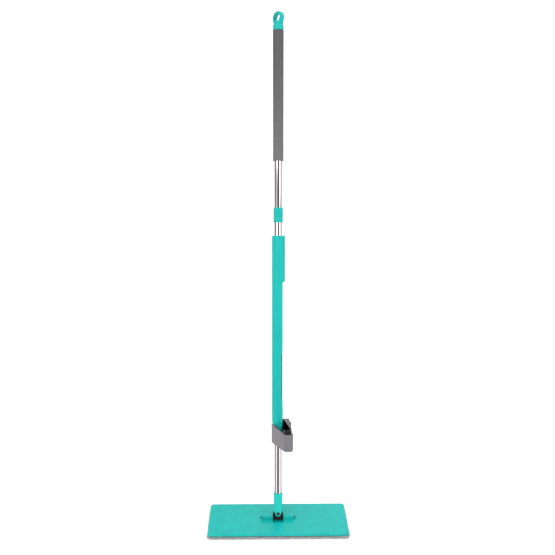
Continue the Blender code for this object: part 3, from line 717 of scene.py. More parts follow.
# ---- putting pieces in the scene ----------------------------------------------------------------
@dataclass
class SubAssembly:
    """Pieces that are drawn in one seat.

    Attributes:
        seat: The frame in which they are drawn.
    """

    seat: Seat

    def add(self, name: str, patches: Sequence[Patch], finish: Finish, body: str,
            nodes: Sequence[str] = (), sharp: float = 38.0) -> bpy.types.Object:
        """Put one piece in the scene.

        Args:
            name: The piece's name.
            patches: Its closed surfaces, in this sub-assembly's seat.
            finish: Its finish.
            body: The CAD body it rides on.
            nodes: The CAD nodes it stands for.
            sharp: Angle in degrees past which an edge is shaded sharp.

        Returns:
            The piece.
        """
        mesh = bpy.data.meshes.new(name)
        points, faces, start = [], [], 0
        for patch in patches:
            out = patch.placed(self.seat).facing_out()
            points.append(out.points)
            faces.extend((out.quads + start).tolist())
            faces.extend((cap + start).tolist() for cap in out.caps)
            start += len(out.points)
        mesh.from_pydata(np.concatenate(points).tolist(), [], faces)
        work = bmesh.new()
        work.from_mesh(mesh)
        bmesh.ops.remove_doubles(work, verts=work.verts, dist=WELD)
        work.to_mesh(mesh)
        work.free()
        mesh.shade_smooth()
        mesh.set_sharp_from_angle(angle=math.radians(sharp))
        mesh.materials.append(finish.material(self.seat))
        piece = bpy.data.objects.new(name, mesh)
        bpy.context.scene.collection.objects.link(piece)
        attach(piece, body)
        if nodes:
            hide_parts(*nodes)
        log.info("%s: %d faces on %s", name, len(mesh.polygons), body)
        return piece

    def dress(self, node: str, finish: Finish) -> None:
        """Give a CAD node that stays its finish."""
        kept = frame["nodes"][node]
        for holder in kept.material_slots:
            holder.material = finish.material(self.seat)
        log.info("%s: kept, dressed in %s", node, finish.slot)


GAP = 0.0003
MOULD_MARGIN = 0.002


def ring_outline(bore: float, radius: float, low: float, high: float, edge: float) -> Array:
    """Return the closed section of a plain ring with rounded edges."""
    return filleted([(bore, low), (radius, low), (radius, high), (bore, high)], edge)


LYING_BACK = np.array([[1.0, 0.0, 0.0], [0.0, 0.0, -1.0], [0.0, 1.0, 0.0]])
LYING_ACROSS = np.array([[0.0, 1.0, 0.0], [0.0, 0.0, 1.0], [1.0, 0.0, 0.0]])


# ---- pole ---------------------------------------------------------------------------------------
@dataclass
class Pole(SubAssembly):
    """The two steel tubes, the plug inside their join and the fork socket at the foot."""

    tube_wall: float = 0.0009
    tube_edge: float = 0.0002
    socket_half: float = 0.0117
    socket_corner: float = 0.0082
    tip_radius: float = 0.0070
    cheek_half: float = 0.0125
    cheek_height: float = 0.0180
    slot_half: float = 0.0067
    slot_top: float = 0.0435
    spigot_radius: float = 0.0088
    boss_radius: float = 0.0056
    boss_place: float = 0.0097
    boss_half: float = 0.0022
    foot: float = -0.030
    narrowing: float = 0.0005
    mould_step: float = 0.00052
    pin_radius: float = 0.0026

    def build(self) -> None:
        """Make every piece of the pole."""
        for node in ("lower_tube", "upper_tube"):
            low, high = self.seat.extent(node)
            outline = ring_outline(high[0] - self.tube_wall, high[0], low[2], high[2], self.tube_edge)
            self.add(f"{node}_steel", [turned(outline, 128)], Finish.STEEL, "pole", [node])
        self.dress("coupling_core", Finish.NYLON)
        self.fork_socket()
        self.fold_pin()

    def fork_socket(self) -> None:
        """Make the socket: a square body with round corners, tapered cheeks, a slot and pin bosses."""
        low, high = self.seat.extent("fork_socket")
        box = np.array([[-self.socket_half, -self.socket_half, low[2]],
                        [self.socket_half, self.socket_half, high[2]]])
        mould = Mould(self._socket_distance, tuple(box[0] - MOULD_MARGIN), tuple(box[1] + MOULD_MARGIN),
                      self.mould_step)
        self.add("fork_socket_body", [mould.patch()], Finish.TEAL_SOCKET, "pole", ["fork_socket"], 75.0)

    def _socket_distance(self, points: Array) -> Array:
        """Return the socket's distance: body and spigot joined, then taper, slot and bore taken."""
        x, q, s = np.moveaxis(points, -1, 0)
        shoulder = self.seat.extent("lower_tube")[0][2] - GAP
        top = self.seat.extent("fork_socket")[1][2]
        radial = np.hypot(x, q)
        foot = self.foot
        rise = np.clip((s - self.cheek_height) / (shoulder - self.cheek_height), 0.0, 1.0)
        square = slab_distance(x, q, self.socket_half, self.socket_half, self.socket_corner)
        body = disc_distance(square + self.narrowing * rise, s - (shoulder + foot) / 2.0, 0.0,
                             (shoulder - foot) / 2.0, 0.0007)
        middle = (top + shoulder) / 2.0
        spigot = disc_distance(radial, s - middle + 0.002, self.spigot_radius, top - middle + 0.002, 0.0008)
        solid = np.minimum(body, spigot)
        solid = np.maximum(solid, self._taper_distance(np.abs(x), s))
        boss = disc_distance(np.hypot(x, s), np.abs(q) - self.boss_place, self.boss_radius,
                             self.boss_half, 0.0004)
        solid = smooth_join(solid, boss, 0.0008)
        middle = (0.0, 0.0, (self.slot_top + foot) / 2.0)
        half = (0.030, self.slot_half, (self.slot_top - foot) / 2.0)
        solid = smooth_cut(solid, block_distance(points, middle, half, 0.0020), 0.0008)
        return np.maximum(solid, self.pin_radius + 0.0002 - np.hypot(x, s))

    def _taper_distance(self, side: Array, s: Array) -> Array:
        """Return the cheeks' outline: a round tip under two straight lines that open upwards.

        A line leaves the tip's circle at angle b, where half cos b - height sin b = tip radius.
        """
        reach = math.hypot(self.cheek_half, self.cheek_height)
        angle = math.acos(self.tip_radius / reach) - math.atan2(self.cheek_height, self.cheek_half)
        line = side * math.cos(angle) - s * math.sin(angle) - self.tip_radius
        along = side * math.sin(angle) + s * math.cos(angle)
        return np.where(along < 0.0, np.hypot(side, s) - self.tip_radius, line)

    def fold_pin(self) -> None:
        """Make the domed pin through the fork and its washer."""
        low, high = self.seat.extent("fold_pin")
        head = high[0]
        neck = low[1] + 0.0018
        outline = filleted([(0.0, low[1]), (head * 0.62, low[1]), (head, low[1] + 0.0009), (head, neck),
                            (self.pin_radius, neck), (self.pin_radius, high[1]), (0.0, high[1])],
                           [0, 0.0006, 0.0003, 0.0002, 0, 0.0004, 0], closed=False)
        pin = turned(outline, 48, hollow=False).turned_by(LYING_BACK * [1, -1, 1])
        self.add("fold_pin_steel", [pin], Finish.PIN, "pole", ["fold_pin"])
        low, high = self.seat.extent("fold_pin_washer")
        ring = turned(ring_outline(self.pin_radius + GAP, high[0], low[1], high[1], 0.0003), 48)
        self.add("fold_pin_washer_steel", [ring.turned_by(LYING_BACK * [1, -1, 1])], Finish.PIN, "pole",
                 ["fold_pin_washer"])


@dataclass
class Handle(SubAssembly):
    """The long grip, the end cap and the hanging loop that turns in it."""

    bore: float = 0.0103
    low_radius: float = 0.01305
    end_rounding: float = 0.0020
    eye_hole: float = 0.0100
    eye_half: float = 0.0058
    eye_outer: float = 0.0165
    base_radius: float = 0.0121
    eye_rounding: float = 0.0018
    stem_radius: float = 0.0030
    neck_half: float = 0.0122
    base_half: float = 0.0034
    plug_radius: float = 0.0088
    plug_bore: float = 0.0062
    stem_hole: float = 0.0033
    roof: float = 0.0090
    loop_reach: float = 0.0190
    mould_step: float = 0.00045
    loop_turn: float = math.radians(-50.0)

    def build(self) -> None:
        """Make the grip, cap and loop."""
        low, high = self.seat.extent("grip")
        corners = [(self.bore, low[2]), (self.low_radius, low[2]), (high[0], high[2]), (self.bore, high[2])]
        outline = filleted(corners, [0.0003, self.end_rounding, 0.0006, 0.0003], 6)
        self.add("grip_sleeve", [turned(outline, 128)], Finish.GRIP, "pole", ["grip"])
        self.end_cap()
        self.hang_loop()
        self.dress("stem_clip", Finish.PIN)

    def end_cap(self) -> None:
        """Make the cap: a stepped collar above the grip and a hollow plug in the tube."""
        low, high = self.seat.extent("end_cap")
        top, radius = high[2], high[0]
        seat_top = self.seat.extent("grip")[1][2] + GAP
        plug, bore, hole = self.plug_radius, self.plug_bore, self.stem_hole
        roof = top - self.roof
        corners = [(hole, top), (radius - 0.0012, top), (radius, top - 0.0034), (radius, seat_top),
                   (plug, seat_top), (plug, low[2]), (bore, low[2]), (bore, roof), (hole, roof)]
        radii = [0.0003, 0.0012, 0.0018, 0.0004, 0.0, 0.0003, 0.0003, 0.0, 0.0]
        self.add("end_cap_shell", [turned(filleted(corners, radii))], Finish.TEAL, "pole", ["end_cap"])

    def hang_loop(self) -> None:
        """Make the loop, turned partly aside: a thick eye that runs into a round base and a stem."""
        low, high = self.seat.extent("hang_loop")
        reach = self.loop_reach
        mould = Mould(self._loop_distance, (-reach, -reach, low[2] - MOULD_MARGIN),
                      (reach, reach, high[2] + MOULD_MARGIN), self.mould_step)
        self.add("hang_loop_eye", [mould.patch()], Finish.TEAL, "loop", ["hang_loop"], 75.0)

    def _loop_distance(self, points: Array) -> Array:
        """Return the loop's distance: an eye, its neck, a base and a stem run together."""
        x, q, s = np.moveaxis(points, -1, 0)
        low, high = self.seat.extent("hang_loop")
        base = self.seat.extent("end_cap")[1][2] + GAP
        along = x * math.cos(self.loop_turn) + q * math.sin(self.loop_turn)
        aside = q * math.cos(self.loop_turn) - x * math.sin(self.loop_turn)
        centre = high[2] - self.eye_outer
        ring = disc_distance(np.hypot(along, s - centre), aside, self.eye_outer, self.eye_half,
                             self.eye_rounding)
        flat = np.stack([along, aside, s], axis=-1)
        neck_half = (self.neck_half, self.eye_half, (centre - base) / 2.0)
        neck = block_distance(flat, (0.0, 0.0, (centre + base) / 2.0 - 0.003), neck_half, self.eye_rounding)
        body = smooth_join(ring, neck, 0.0030)
        foot = disc_distance(np.hypot(x, q), s - base - self.base_half, self.base_radius, self.base_half,
                             0.0020)
        body = smooth_join(body, foot, 0.0030)
        body = np.maximum(body, base - s)
        hole = np.hypot(along, s - centre) - self.eye_hole
        body = smooth_cut(body, hole, 0.0022)
        middle = (low[2] + base) / 2.0 + 0.001
        stem = disc_distance(np.hypot(x, q), s - middle, self.stem_radius, middle - low[2], 0.0004)
        return np.minimum(body, stem)


@dataclass
class Collar(SubAssembly):
    """The locking ring over the join of the two tubes."""

    bore: float = 0.0103
    edge: float = 0.0010
    groove: float = 0.0002
    groove_height: float = 0.0115

    def build(self) -> None:
        """Make the ring, with a fine groove near its lower end."""
        low, high = self.seat.extent("coupling_collar")
        radius, line = high[0], low[2] + self.groove_height
        corners = [(self.bore, low[2]), (radius, low[2]), (radius, line),
                   (radius - self.groove, line + 0.0003), (radius - self.groove, line + 0.0007),
                   (radius, line + 0.0010), (radius, high[2]),
                   (self.bore, high[2])]
        radii = [0.0003, self.edge, 0.0, 0.0, 0.0, 0.0, self.edge, 0.0003]
        self.add("coupling_collar_ring", [turned(filleted(corners, radii))], Finish.TEAL, "collar",
                 ["coupling_collar"])


# ---- slider -------------------------------------------------------------------------------------
@dataclass
class Sleeve(SubAssembly):
    """The sliding sleeve: a ring above, an open channel below, with its guide pieces inside."""

    step: float = 0.5790
    arch: float = 0.0036
    crown_radius: float = 0.0166
    crown_shift: float = 0.00085
    crown_bottom: float = 0.5760
    channel_edge: float = 0.0106
    notch_edge: float = 0.0076
    notch_low: float = 0.2842
    notch_high: float = 0.4033
    notch_slope: float = 0.0060
    lap: float = 0.2275
    lap_radius: float = 0.0145
    bore: float = 0.0132
    end_edge: float = 0.0007
    row_pitch: float = 0.0040
    swell: float = 0.0007
    swell_place: float = 0.255
    swell_reach: float = 0.013
    shoe_bore: float = 0.0104

    def build(self) -> None:
        """Make the sleeve and the guide shoe, and dress the bushes."""
        self.sleeve()
        self.guide_shoe()
        for node in ("sleeve_bush_top", "sleeve_bush_low"):
            self.dress(node, Finish.NYLON)

    def sleeve(self) -> None:
        """Make the sleeve with an arched step, a notch and a thinner foot under the wringer."""
        low, high = self.seat.extent("slider_sleeve")
        full = -self.seat.extent("slider_sleeve")[0][0] - 0.00010
        ends, shrink = rounded_ends(low[2], high[2], self.end_edge, full - self.bore)
        half = len(ends) // 2
        fine = np.concatenate([self.step - self.arch * (1.0 - np.cos(np.linspace(0.0, math.pi / 2, 9))),
                               self.lap + np.array([-0.0006, -0.0003, 0.0, 0.0003, 0.0006]),
                               self.notch_low + np.linspace(-0.0010, self.notch_slope, 6),
                               self.notch_high - np.linspace(-0.0010, self.notch_slope, 6)])
        plain = np.arange(low[2] + self.row_pitch, high[2] - self.row_pitch, self.row_pitch)
        rim = self.crown_bottom + np.array([-0.0005, 0.0, 0.0003, 0.0008])
        between = np.unique(np.round(np.concatenate([fine, plain, rim, [self.step + 0.0008]]), 6))
        height = np.concatenate([ends[:half], between, ends[half:]])
        thinner = np.concatenate([shrink[:half], np.zeros(len(between)), shrink[half:]])
        crown = np.interp(height, [self.crown_bottom - 0.0005, self.crown_bottom + 0.0003], [0.0, 1.0])
        wide = np.interp(height, [self.lap, self.lap + 0.0003], [self.lap_radius, full])
        wide = wide + crown * (self.crown_radius - full)
        thinner = np.minimum(thinner, (wide - self.bore) / 2.0)
        opening = np.arccos(np.clip(self._edge(height) / full, -1.0, 1.0))
        depth = np.clip((self.step - height) / self.arch, 0.0, 1.0)
        opening = np.where(height < self.step, opening * np.sqrt(1.0 - (1.0 - depth) ** 2), 0.0)
        shift = crown * self.crown_shift * np.where(thinner > 0.0, 0.5, 1.0)
        wall = channel(height, wide - thinner, self.bore + thinner, opening, shift=shift)
        self.add("slider_sleeve_shell", [wall], Finish.TEAL, "slider", ["slider_sleeve"])

    def _edge(self, height: Array) -> Array:
        """Return how far towards +X the channel's edges reach at each height."""
        slope = self.notch_slope
        marks = [self.notch_low - 0.0004, self.notch_low + slope * 0.3, self.notch_high - slope,
                 self.notch_high]
        edges = [self.channel_edge, self.notch_edge, self.notch_edge, self.channel_edge]
        swell = self.swell * np.exp(-(((height - self.swell_place) / self.swell_reach) ** 2))
        return np.interp(height, marks, edges) + swell

    def guide_shoe(self) -> None:
        """Make the dark guide channel that shows in the notch."""
        low, high = self.seat.extent("guide_shoe")
        outer, inner = high[1], self.shoe_bore
        ends, shrink = rounded_ends(low[2], high[2], 0.0003, outer - inner)
        half = len(ends) // 2
        height = np.concatenate([ends[:half], np.linspace(low[2] + 0.002, high[2] - 0.002, 12), ends[half:]])
        thinner = np.concatenate([shrink[:half], np.zeros(12), shrink[half:]])
        opening = np.full(len(height), math.acos(high[0] / outer))
        wall = channel(height, outer - thinner, inner + thinner, opening, 56)
        self.add("guide_shoe_channel", [wall], Finish.BLACK, "slider", ["guide_shoe"])


def evenly(outline: Array, pitch: float) -> Array:
    """Return a closed outline with points a fixed distance apart, by linear interpolation."""
    ring = np.vstack([outline, outline[:1]])
    run = np.concatenate([[0.0], np.cumsum(np.linalg.norm(np.diff(ring, axis=0), axis=1))])
    count = int(run[-1] / pitch)
    at = np.linspace(0.0, run[-1], count, endpoint=False)
    return np.column_stack([np.interp(at, run, ring[:, k]) for k in (0, 1)])


@dataclass
class Wringer(SubAssembly):
    """The grey wringer loop on the sleeve's foot, with its black squeezing frame and rubber lips."""

    wall: float = 0.0026
    half_q: float = 0.0690
    outer_x: float = 0.0350
    shoulder_x: float = 0.0140
    pole_radius: float = 0.0163
    corner: float = 0.0050
    bottom: float = 0.1690
    relief: float = 0.1741
    top: float = 0.2095
    pole_bottom: float = 0.1745
    pole_top: float = 0.2225
    slope_end: float = 0.0150
    post_top: float = 0.2148
    sag_top: float = 0.2002
    sag_reach: float = 0.0655
    sag_slope: float = 0.0080
    lap_radius: float = 0.0148
    blade_x: float = 0.0278
    frame_x: float = 0.0302
    liner_wall: float = 0.0016
    wing_wall: float = 0.0012
    wing_rise: float = 0.0040
    wing_reach: float = 0.0078
    frame_step: float = 0.0110
    frame_run: float = 0.0016
    post_run: float = 0.0015
    rib_half: float = 0.0006
    rib_height: float = 0.0044
    plan_pitch: float = 0.0012
    frame_pitch: float = 0.0008
    bead: float = 0.0004
    frame_corner: float = 0.0024

    def build(self) -> None:
        """Make the loop, the frame inside it and the lips."""
        self.housing()
        self.squeeze_frame()
        self.lips()

    def _plan(self, pole_radius: float, spread: float) -> Array:
        """Return the loop's plan: round the pole, out along two slanted wings and straight across.

        Args:
            pole_radius: Radius round the pole.
            spread: Distance by which the rest lies inside the outer wall.

        Returns:
            Closed outline of (x, q), evenly spaced.
        """
        half_q, outer_x = self.half_q - spread, self.outer_x - spread
        shoulder = (self.shoulder_x + spread * 0.4, half_q)
        distance = math.hypot(*shoulder)
        touch = math.atan2(shoulder[1], shoulder[0]) + math.acos(pole_radius / distance)
        angle = np.linspace(touch, 2.0 * math.pi - touch, 24)
        round_pole = pole_radius * np.column_stack([np.cos(angle), np.sin(angle)])
        ends = filleted([round_pole[-1], (shoulder[0], -half_q), (outer_x, -half_q), (outer_x, half_q),
                         (shoulder[0], half_q), round_pole[0]],
                        [0, 0.004, self.corner, self.corner, 0.004, 0], 8, closed=False)
        outline = np.concatenate([round_pole, ends[1:-1]])
        return evenly(outline, self.plan_pitch)

    def housing(self) -> None:
        """Make the loop's wall with a raised bead along its top rim, and small ribs at its ends."""
        plan = self._plan(self.pole_radius - self.wall / 2.0, self.wall / 2.0)
        edge = np.roll(plan, -1, axis=0) - np.roll(plan, 1, axis=0)
        out = unit(np.stack([edge[:, 1], -edge[:, 0]], axis=1))
        nominal, half, bead = 0.040, self.wall / 2.0, self.bead
        corners = [(-half, 0.0), (half, 0.0), (half, nominal - 0.0045), (half + bead, nominal - 0.0037),
                   (half + bead, nominal), (-half, nominal)]
        section = filleted(corners, [0.0005, 0.0009, 0.0004, 0.0004, 0.0009, 0.0005], 4)
        upper = section[:, 1] > nominal / 2.0
        rise = np.where(upper, section[:, 1] - nominal, section[:, 1])
        low, high = self._heights(plan)
        height = np.where(upper, high[:, None], low[:, None]) + rise
        place = plan[:, None] + out[:, None] * section[None, :, :1]
        wall = grid(np.concatenate([place, height[..., None]], axis=-1), rows_close=True)
        patches = [wall, *self._end_ribs()]
        self.add("wringer_loop", patches, Finish.GREY, "slider", ["wringer_housing"])

    def _heights(self, plan: Array) -> tuple[Array, Array]:
        """Return the wall's lower and upper edge along the plan, with its slopes softened."""
        x, q = plan[:, 0], np.abs(plan[:, 1])
        back = -self.pole_radius
        low = np.interp(x, [back, -0.0100, self.slope_end - 0.004, self.slope_end + 0.002],
                        [self.pole_bottom + 0.0022, self.pole_bottom, self.bottom + 0.0010, self.bottom])
        far = (plan[:, 1] > -0.0120) & (plan[:, 1] < self.half_q - 0.0040)
        outside = (x > self.outer_x - 0.0020) & (q < self.half_q - 0.0045)
        low = np.where(far | outside, np.maximum(low, self.relief), low)
        high = np.interp(x, [back, self.slope_end], [self.pole_top, self.top])
        across = np.interp(q, [self.sag_reach - self.sag_slope, self.sag_reach],
                           [self.sag_top, self.post_top])
        front = eased(np.clip((x - self.frame_x - GAP) / self.post_run, 0.0, 1.0))
        high = high + (across - high) * front
        kernel = np.hanning(9)[1:-1]
        kernel /= kernel.sum()
        wrap = len(kernel) // 2
        return tuple(np.convolve(np.r_[v[-wrap:], v, v[:wrap]], kernel, "valid") for v in (low, high))

    def _end_ribs(self) -> list[Patch]:
        """Return short upright ribs low on both end walls."""
        ribs = []
        for side in (-1.0, 1.0):
            for x in np.linspace(0.0165, 0.0275, 6):
                inner, outer = side * (self.half_q - 0.0010), side * (self.half_q + 0.0005)
                left, right = x - self.rib_half, x + self.rib_half
                outline = filleted([(left, inner), (right, inner), (right, outer), (left, outer)],
                                   0.0003, 3)
                foot = self.bottom + 0.0006
                ribs.append(extruded(outline, foot, foot + self.rib_height, 0.0003))
        return ribs

    def squeeze_frame(self) -> None:
        """Make the black frame: linings along both wings, two end plates and a blade.

        Its plan is a ribbon of outer and inner points. Its top stands level over the end plates
        and the blade, and follows the loop's sloping rim along the wings.
        """
        low, high = self.seat.extent("squeeze_frame")
        half_q = high[1]
        inside = half_q - self.liner_wall
        start = self.shoulder_x + 0.0012
        near = [self._wing_point(GAP, self.wing_reach), (start, half_q)]
        back = [(start + 0.0004, inside), self._wing_point(GAP + self.wing_wall, self.wing_reach)]
        corners = [(x, -q) for x, q in near] + [(self.frame_x, -half_q), (self.frame_x, half_q)]
        corners += near[::-1] + back[::-1] + [(self.blade_x, inside), (self.blade_x, -inside)]
        corners += [(x, -q) for x, q in back]
        radii = [0.0004, 0.0010, self.frame_corner, self.frame_corner, 0.0010, 0.0004,
                 0.0004, 0.0006, 0.0030, 0.0030, 0.0006, 0.0004]
        outline = evenly(filleted(corners, radii, 6), self.frame_pitch)
        frame_top = self._frame_top(outline[:, 0], high[2])
        patch = extruded(outline, 0.0, 1.0, 0.0005)
        share = patch.points[:, 2].reshape(-1, len(outline))
        rise = np.where(share > 0.5, frame_top[None] + (share - 1.0), low[2] + share)
        patch.points[:, 2] = rise.reshape(-1)
        self.add("squeeze_frame_black", [patch], Finish.BLACK, "slider", ["squeeze_frame"])

    def _wing_point(self, shift: float, along: float) -> tuple[float, float]:
        """Return a point along the loop's inner wing, shifted inwards from its line."""
        corner = (self.shoulder_x + 0.0010, self.half_q - self.wall)
        touch = math.atan2(corner[1], corner[0]) + math.acos(self.lap_radius / math.hypot(*corner))
        inner = self.lap_radius - shift
        return (inner * math.cos(touch) + along * math.sin(touch),
                inner * math.sin(touch) - along * math.cos(touch))

    def _frame_top(self, x: Array, level: float) -> Array:
        """Return the frame's top at each x: the rim's slope plus its rise, then a step up."""
        slope = np.interp(x, [-0.0250, self.slope_end - 0.0005],
                          [self.pole_top + 0.0020 + self.wing_rise, self.top])
        slope = slope + self.wing_rise * 0.4
        share = eased(np.clip((x - self.frame_step) / self.frame_run + 0.5, 0.0, 1.0))
        return slope + (level - slope) * share

    def lips(self) -> None:
        """Make the three rubber lips along the blade."""
        for number in (1, 2, 3):
            node = f"wiping_lip_{number}"
            low, high = self.seat.extent(node)
            middle = (low[2] + high[2]) / 2.0
            corners = [(high[0], low[2]), (high[0], high[2]), (low[0], middle + 0.0006),
                       (low[0], middle - 0.0006)]
            lip = extruded(filleted(corners, [0.0002, 0.0002, 0.0005, 0.0005], 3), low[1], high[1], 0.0003)
            lip = Patch(lip.points[:, [0, 2, 1]], lip.quads, lip.caps)
            self.add(f"{node}_rubber", [lip], Finish.LIP, "slider", [node])


# ---- joint and head -----------------------------------------------------------------------------
@dataclass
class JointCross(SubAssembly):
    """The black block that turns on the tilt pin and carries the fork."""

    half_x: float = 0.01235
    half_q: float = 0.0063
    barrel_radius: float = 0.0080
    shoulder: float = 0.0012
    tongue_radius: float = 0.0070
    fold_offset: float = 0.0112
    pin_hole: float = 0.0029
    mould_step: float = 0.00038

    def build(self) -> None:
        """Make the block, with softly rounded shoulders that cradle the fork's tip."""
        low = np.array([-self.half_x, -self.half_q, -self.fold_offset - self.barrel_radius])
        high = np.array([self.half_x, self.half_q, self.tongue_radius])
        patch = Mould(self._distance, tuple(low - MOULD_MARGIN), tuple(high + MOULD_MARGIN),
                      self.mould_step).patch()
        self.add("joint_cross_block", [patch], Finish.BLACK, "cross", ["joint_cross"], 75.0)

    def _distance(self, points: Array) -> Array:
        """Return the block's distance: barrel, shoulders and tongue joined, then the bores taken."""
        x, q, s = np.moveaxis(points, -1, 0)
        drop = s + self.fold_offset
        barrel = disc_distance(np.hypot(q, drop), x, self.barrel_radius, self.half_x, 0.0034)
        middle = (0.0, 0.0, (self.shoulder - self.fold_offset) / 2.0)
        half = (self.half_x, self.half_q, (self.shoulder + self.fold_offset) / 2.0)
        solid = smooth_join(barrel, block_distance(points, middle, half, 0.0022), 0.0010)
        solid = np.maximum(solid, np.abs(q) - self.half_q)
        tongue = disc_distance(np.hypot(x, s), q, self.tongue_radius, self.half_q - 0.0001, 0.0006)
        solid = smooth_join(solid, tongue, 0.0012)
        return smooth_cut(solid, np.hypot(x, s) - self.pin_hole, 0.0004)


def eased(share: Array) -> Array:
    """Return a share from 0 to 1 with level ends: t * t * (3 - 2 t)."""
    return share * share * (3.0 - 2.0 * share)


def slab_distance(x: Array, y: Array, half_x: float, half_y: float, corner: float) -> Array:
    """Return the distance to a rectangle with round corners, negative inside."""
    out_x, out_y = np.abs(x) - half_x + corner, np.abs(y) - half_y + corner
    away = np.hypot(np.maximum(out_x, 0.0), np.maximum(out_y, 0.0))
    return away + np.minimum(np.maximum(out_x, out_y), 0.0) - corner


@dataclass
class Head(SubAssembly):
    """The teal head plate, its tilt pin and the hook strips and backing beneath."""

    corner: float = 0.0080
    edge_width: float = 0.0042
    edge_drop: float = 0.0024
    barrel_radius: float = 0.0062
    barrel_start: float = 0.0130
    barrel_end: float = 0.0395
    recess_x: float = 0.0136
    recess_y: float = 0.0190
    recess_depth: float = 0.0044
    recess_corner: float = 0.0035
    pocket_depth: float = 0.0016
    pocket_x: float = 0.0424
    pocket_half: tuple[float, float] = (0.0022, 0.0052)
    pocket_corner: float = 0.0015
    fine_pitch: float = 0.00045
    thickness: float = 0.0062
    tilt_pin_radius: float = 0.0021

    def build(self) -> None:
        """Make the plate, pin and the layers under it."""
        self.plate()
        self.tilt_pin()
        self.hook_strips()
        self.backing()

    def plate(self) -> None:
        """Make the plate by carrying its section along the head.

        Each row is one section at x: its top runs from edge to edge, its underside runs back.
        """
        low, high = (np.array(corner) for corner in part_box("head_plate"))
        half_x, half_y = high[0], high[1]
        xs = self._lines(half_x, 0.0470, 0.0080)
        share = self._lines(half_y, 0.0215, 0.0050) / half_y
        past = np.maximum(np.abs(xs) - (half_x - self.corner), 0.0)
        width = half_y - self.corner + np.sqrt(np.maximum(self.corner**2 - past**2, 0.0))
        y = width[:, None] * share[None, :]
        x = np.broadcast_to(xs[:, None], y.shape)
        top_z = self._top(x, y, half_x, half_y)
        inner = -slab_distance(x, y, half_x, half_y, self.corner)
        under = low[2] + 0.0006 * np.clip(1.0 - inner / 0.0006, 0.0, 1.0) ** 2
        top = np.stack([x, y, top_z], axis=-1)
        base = np.stack([x, y, under], axis=-1)[:, ::-1]
        patch = grid(np.concatenate([top, base], axis=1), fill_ends=True)
        self.add("head_plate_shell", [patch], Finish.TEAL, "head", ["head_plate"], 32.0)

    def _lines(self, half: float, dense: float, coarse: float) -> Array:
        """Return grid lines from -half to half: fine inside the dense reach and towards the ends."""
        inner = np.arange(0.0, dense, self.fine_pitch)
        outer = np.linspace(dense, half - 0.0070, int((half - 0.0070 - dense) / coarse) + 1)
        end = half - np.array([0.0052, 0.0042, 0.0034, 0.0027, 0.0021, 0.0015, 0.0010, 0.0006, 0.0003,
                               0.0001, 0.0])
        side = np.concatenate([inner[1:], outer, end])
        return np.concatenate([-side[::-1], [0.0], side])

    def _top(self, x: Array, y: Array, half_x: float, half_y: float) -> Array:
        """Return the plate's top: level, rolled over at the rim, with barrels, recess and pockets.

        The rim drops by h (1 - sqrt(1 - (1 - d / w)^2)) within w of the edge. A barrel's height is
        that of its circle, falling steeply past its sides and ends, joined on with a fillet.
        """
        axis_z = joint("pole_tilt")["pos_m"][2]
        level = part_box("hook_strip_front")[1][2] + GAP + self.thickness
        inner = -slab_distance(x, y, half_x, half_y, self.corner)
        share = np.clip(1.0 - inner / self.edge_width, 0.0, 1.0)
        top = level - self.edge_drop * (1.0 - np.sqrt(1.0 - share**2))
        steep = 9.0
        side = np.minimum(np.abs(y), self.barrel_radius)
        barrel = axis_z + np.sqrt(self.barrel_radius**2 - side**2)
        beyond = np.maximum.reduce([np.abs(y) - self.barrel_radius, np.abs(x) - self.barrel_end,
                                    self.barrel_start - np.abs(x)])
        barrel = barrel - steep * np.maximum(beyond, 0.0)
        top = -smooth_join(-top, -barrel, 0.0014)
        hollow = slab_distance(x, y, self.recess_x, self.recess_y, self.recess_corner)
        down = np.clip(0.5 - hollow / 0.0007, 0.0, 1.0)
        away = np.abs(x) < self.barrel_start + 0.0004
        top = np.where(away, top - self.recess_depth * eased(down), top)
        pocket = slab_distance(np.abs(x) - self.pocket_x, y, *self.pocket_half, self.pocket_corner)
        sunk = np.clip(0.5 - pocket / 0.0008, 0.0, 1.0)
        return top - self.pocket_depth * eased(sunk)

    def tilt_pin(self) -> None:
        """Make the pin through the barrels and the cap on its far end."""
        height = joint("pole_tilt")["pos_m"][2]
        low, high = (np.array(corner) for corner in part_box("tilt_pin"))
        radius, head = self.tilt_pin_radius, high[2] - height
        outline = filleted([(0.0, low[0]), (radius, low[0]), (radius, high[0] - 0.0018),
                            (head, high[0] - 0.0018), (head, high[0]), (0.0, high[0])],
                           [0, 0.0003, 0, 0.0003, 0.0006, 0], closed=False)
        pin = turned(outline, 40, hollow=False).turned_by(LYING_ACROSS, (0.0, 0.0, height))
        self.add("tilt_pin_steel", [pin], Finish.PIN, "head", ["tilt_pin"])
        self.dress("tilt_pin_cap", Finish.PIN)

    def hook_strips(self) -> None:
        """Make the two hook-tape strips under the plate."""
        for node in ("hook_strip_front", "hook_strip_back"):
            low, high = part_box(node)
            corners = [(low[0], low[1]), (high[0], low[1]), (high[0], high[1]), (low[0], high[1])]
            strip = extruded(filleted(corners, 0.0020), low[2], high[2], 0.0002)
            self.add(f"{node}_tape", [strip], Finish.HOOKS, "head", [node])

    def backing(self) -> None:
        """Make the woven backing between the plate and the pad."""
        low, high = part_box("pad_backing")
        corners = [(low[0], low[1]), (high[0], low[1]), (high[0], high[1]), (low[0], high[1])]
        cloth = extruded(filleted(corners, self.corner - 0.0030), low[2], high[2], 0.0003)
        self.add("pad_backing_cloth", [cloth], Finish.BACKING, "head", ["pad_backing"])


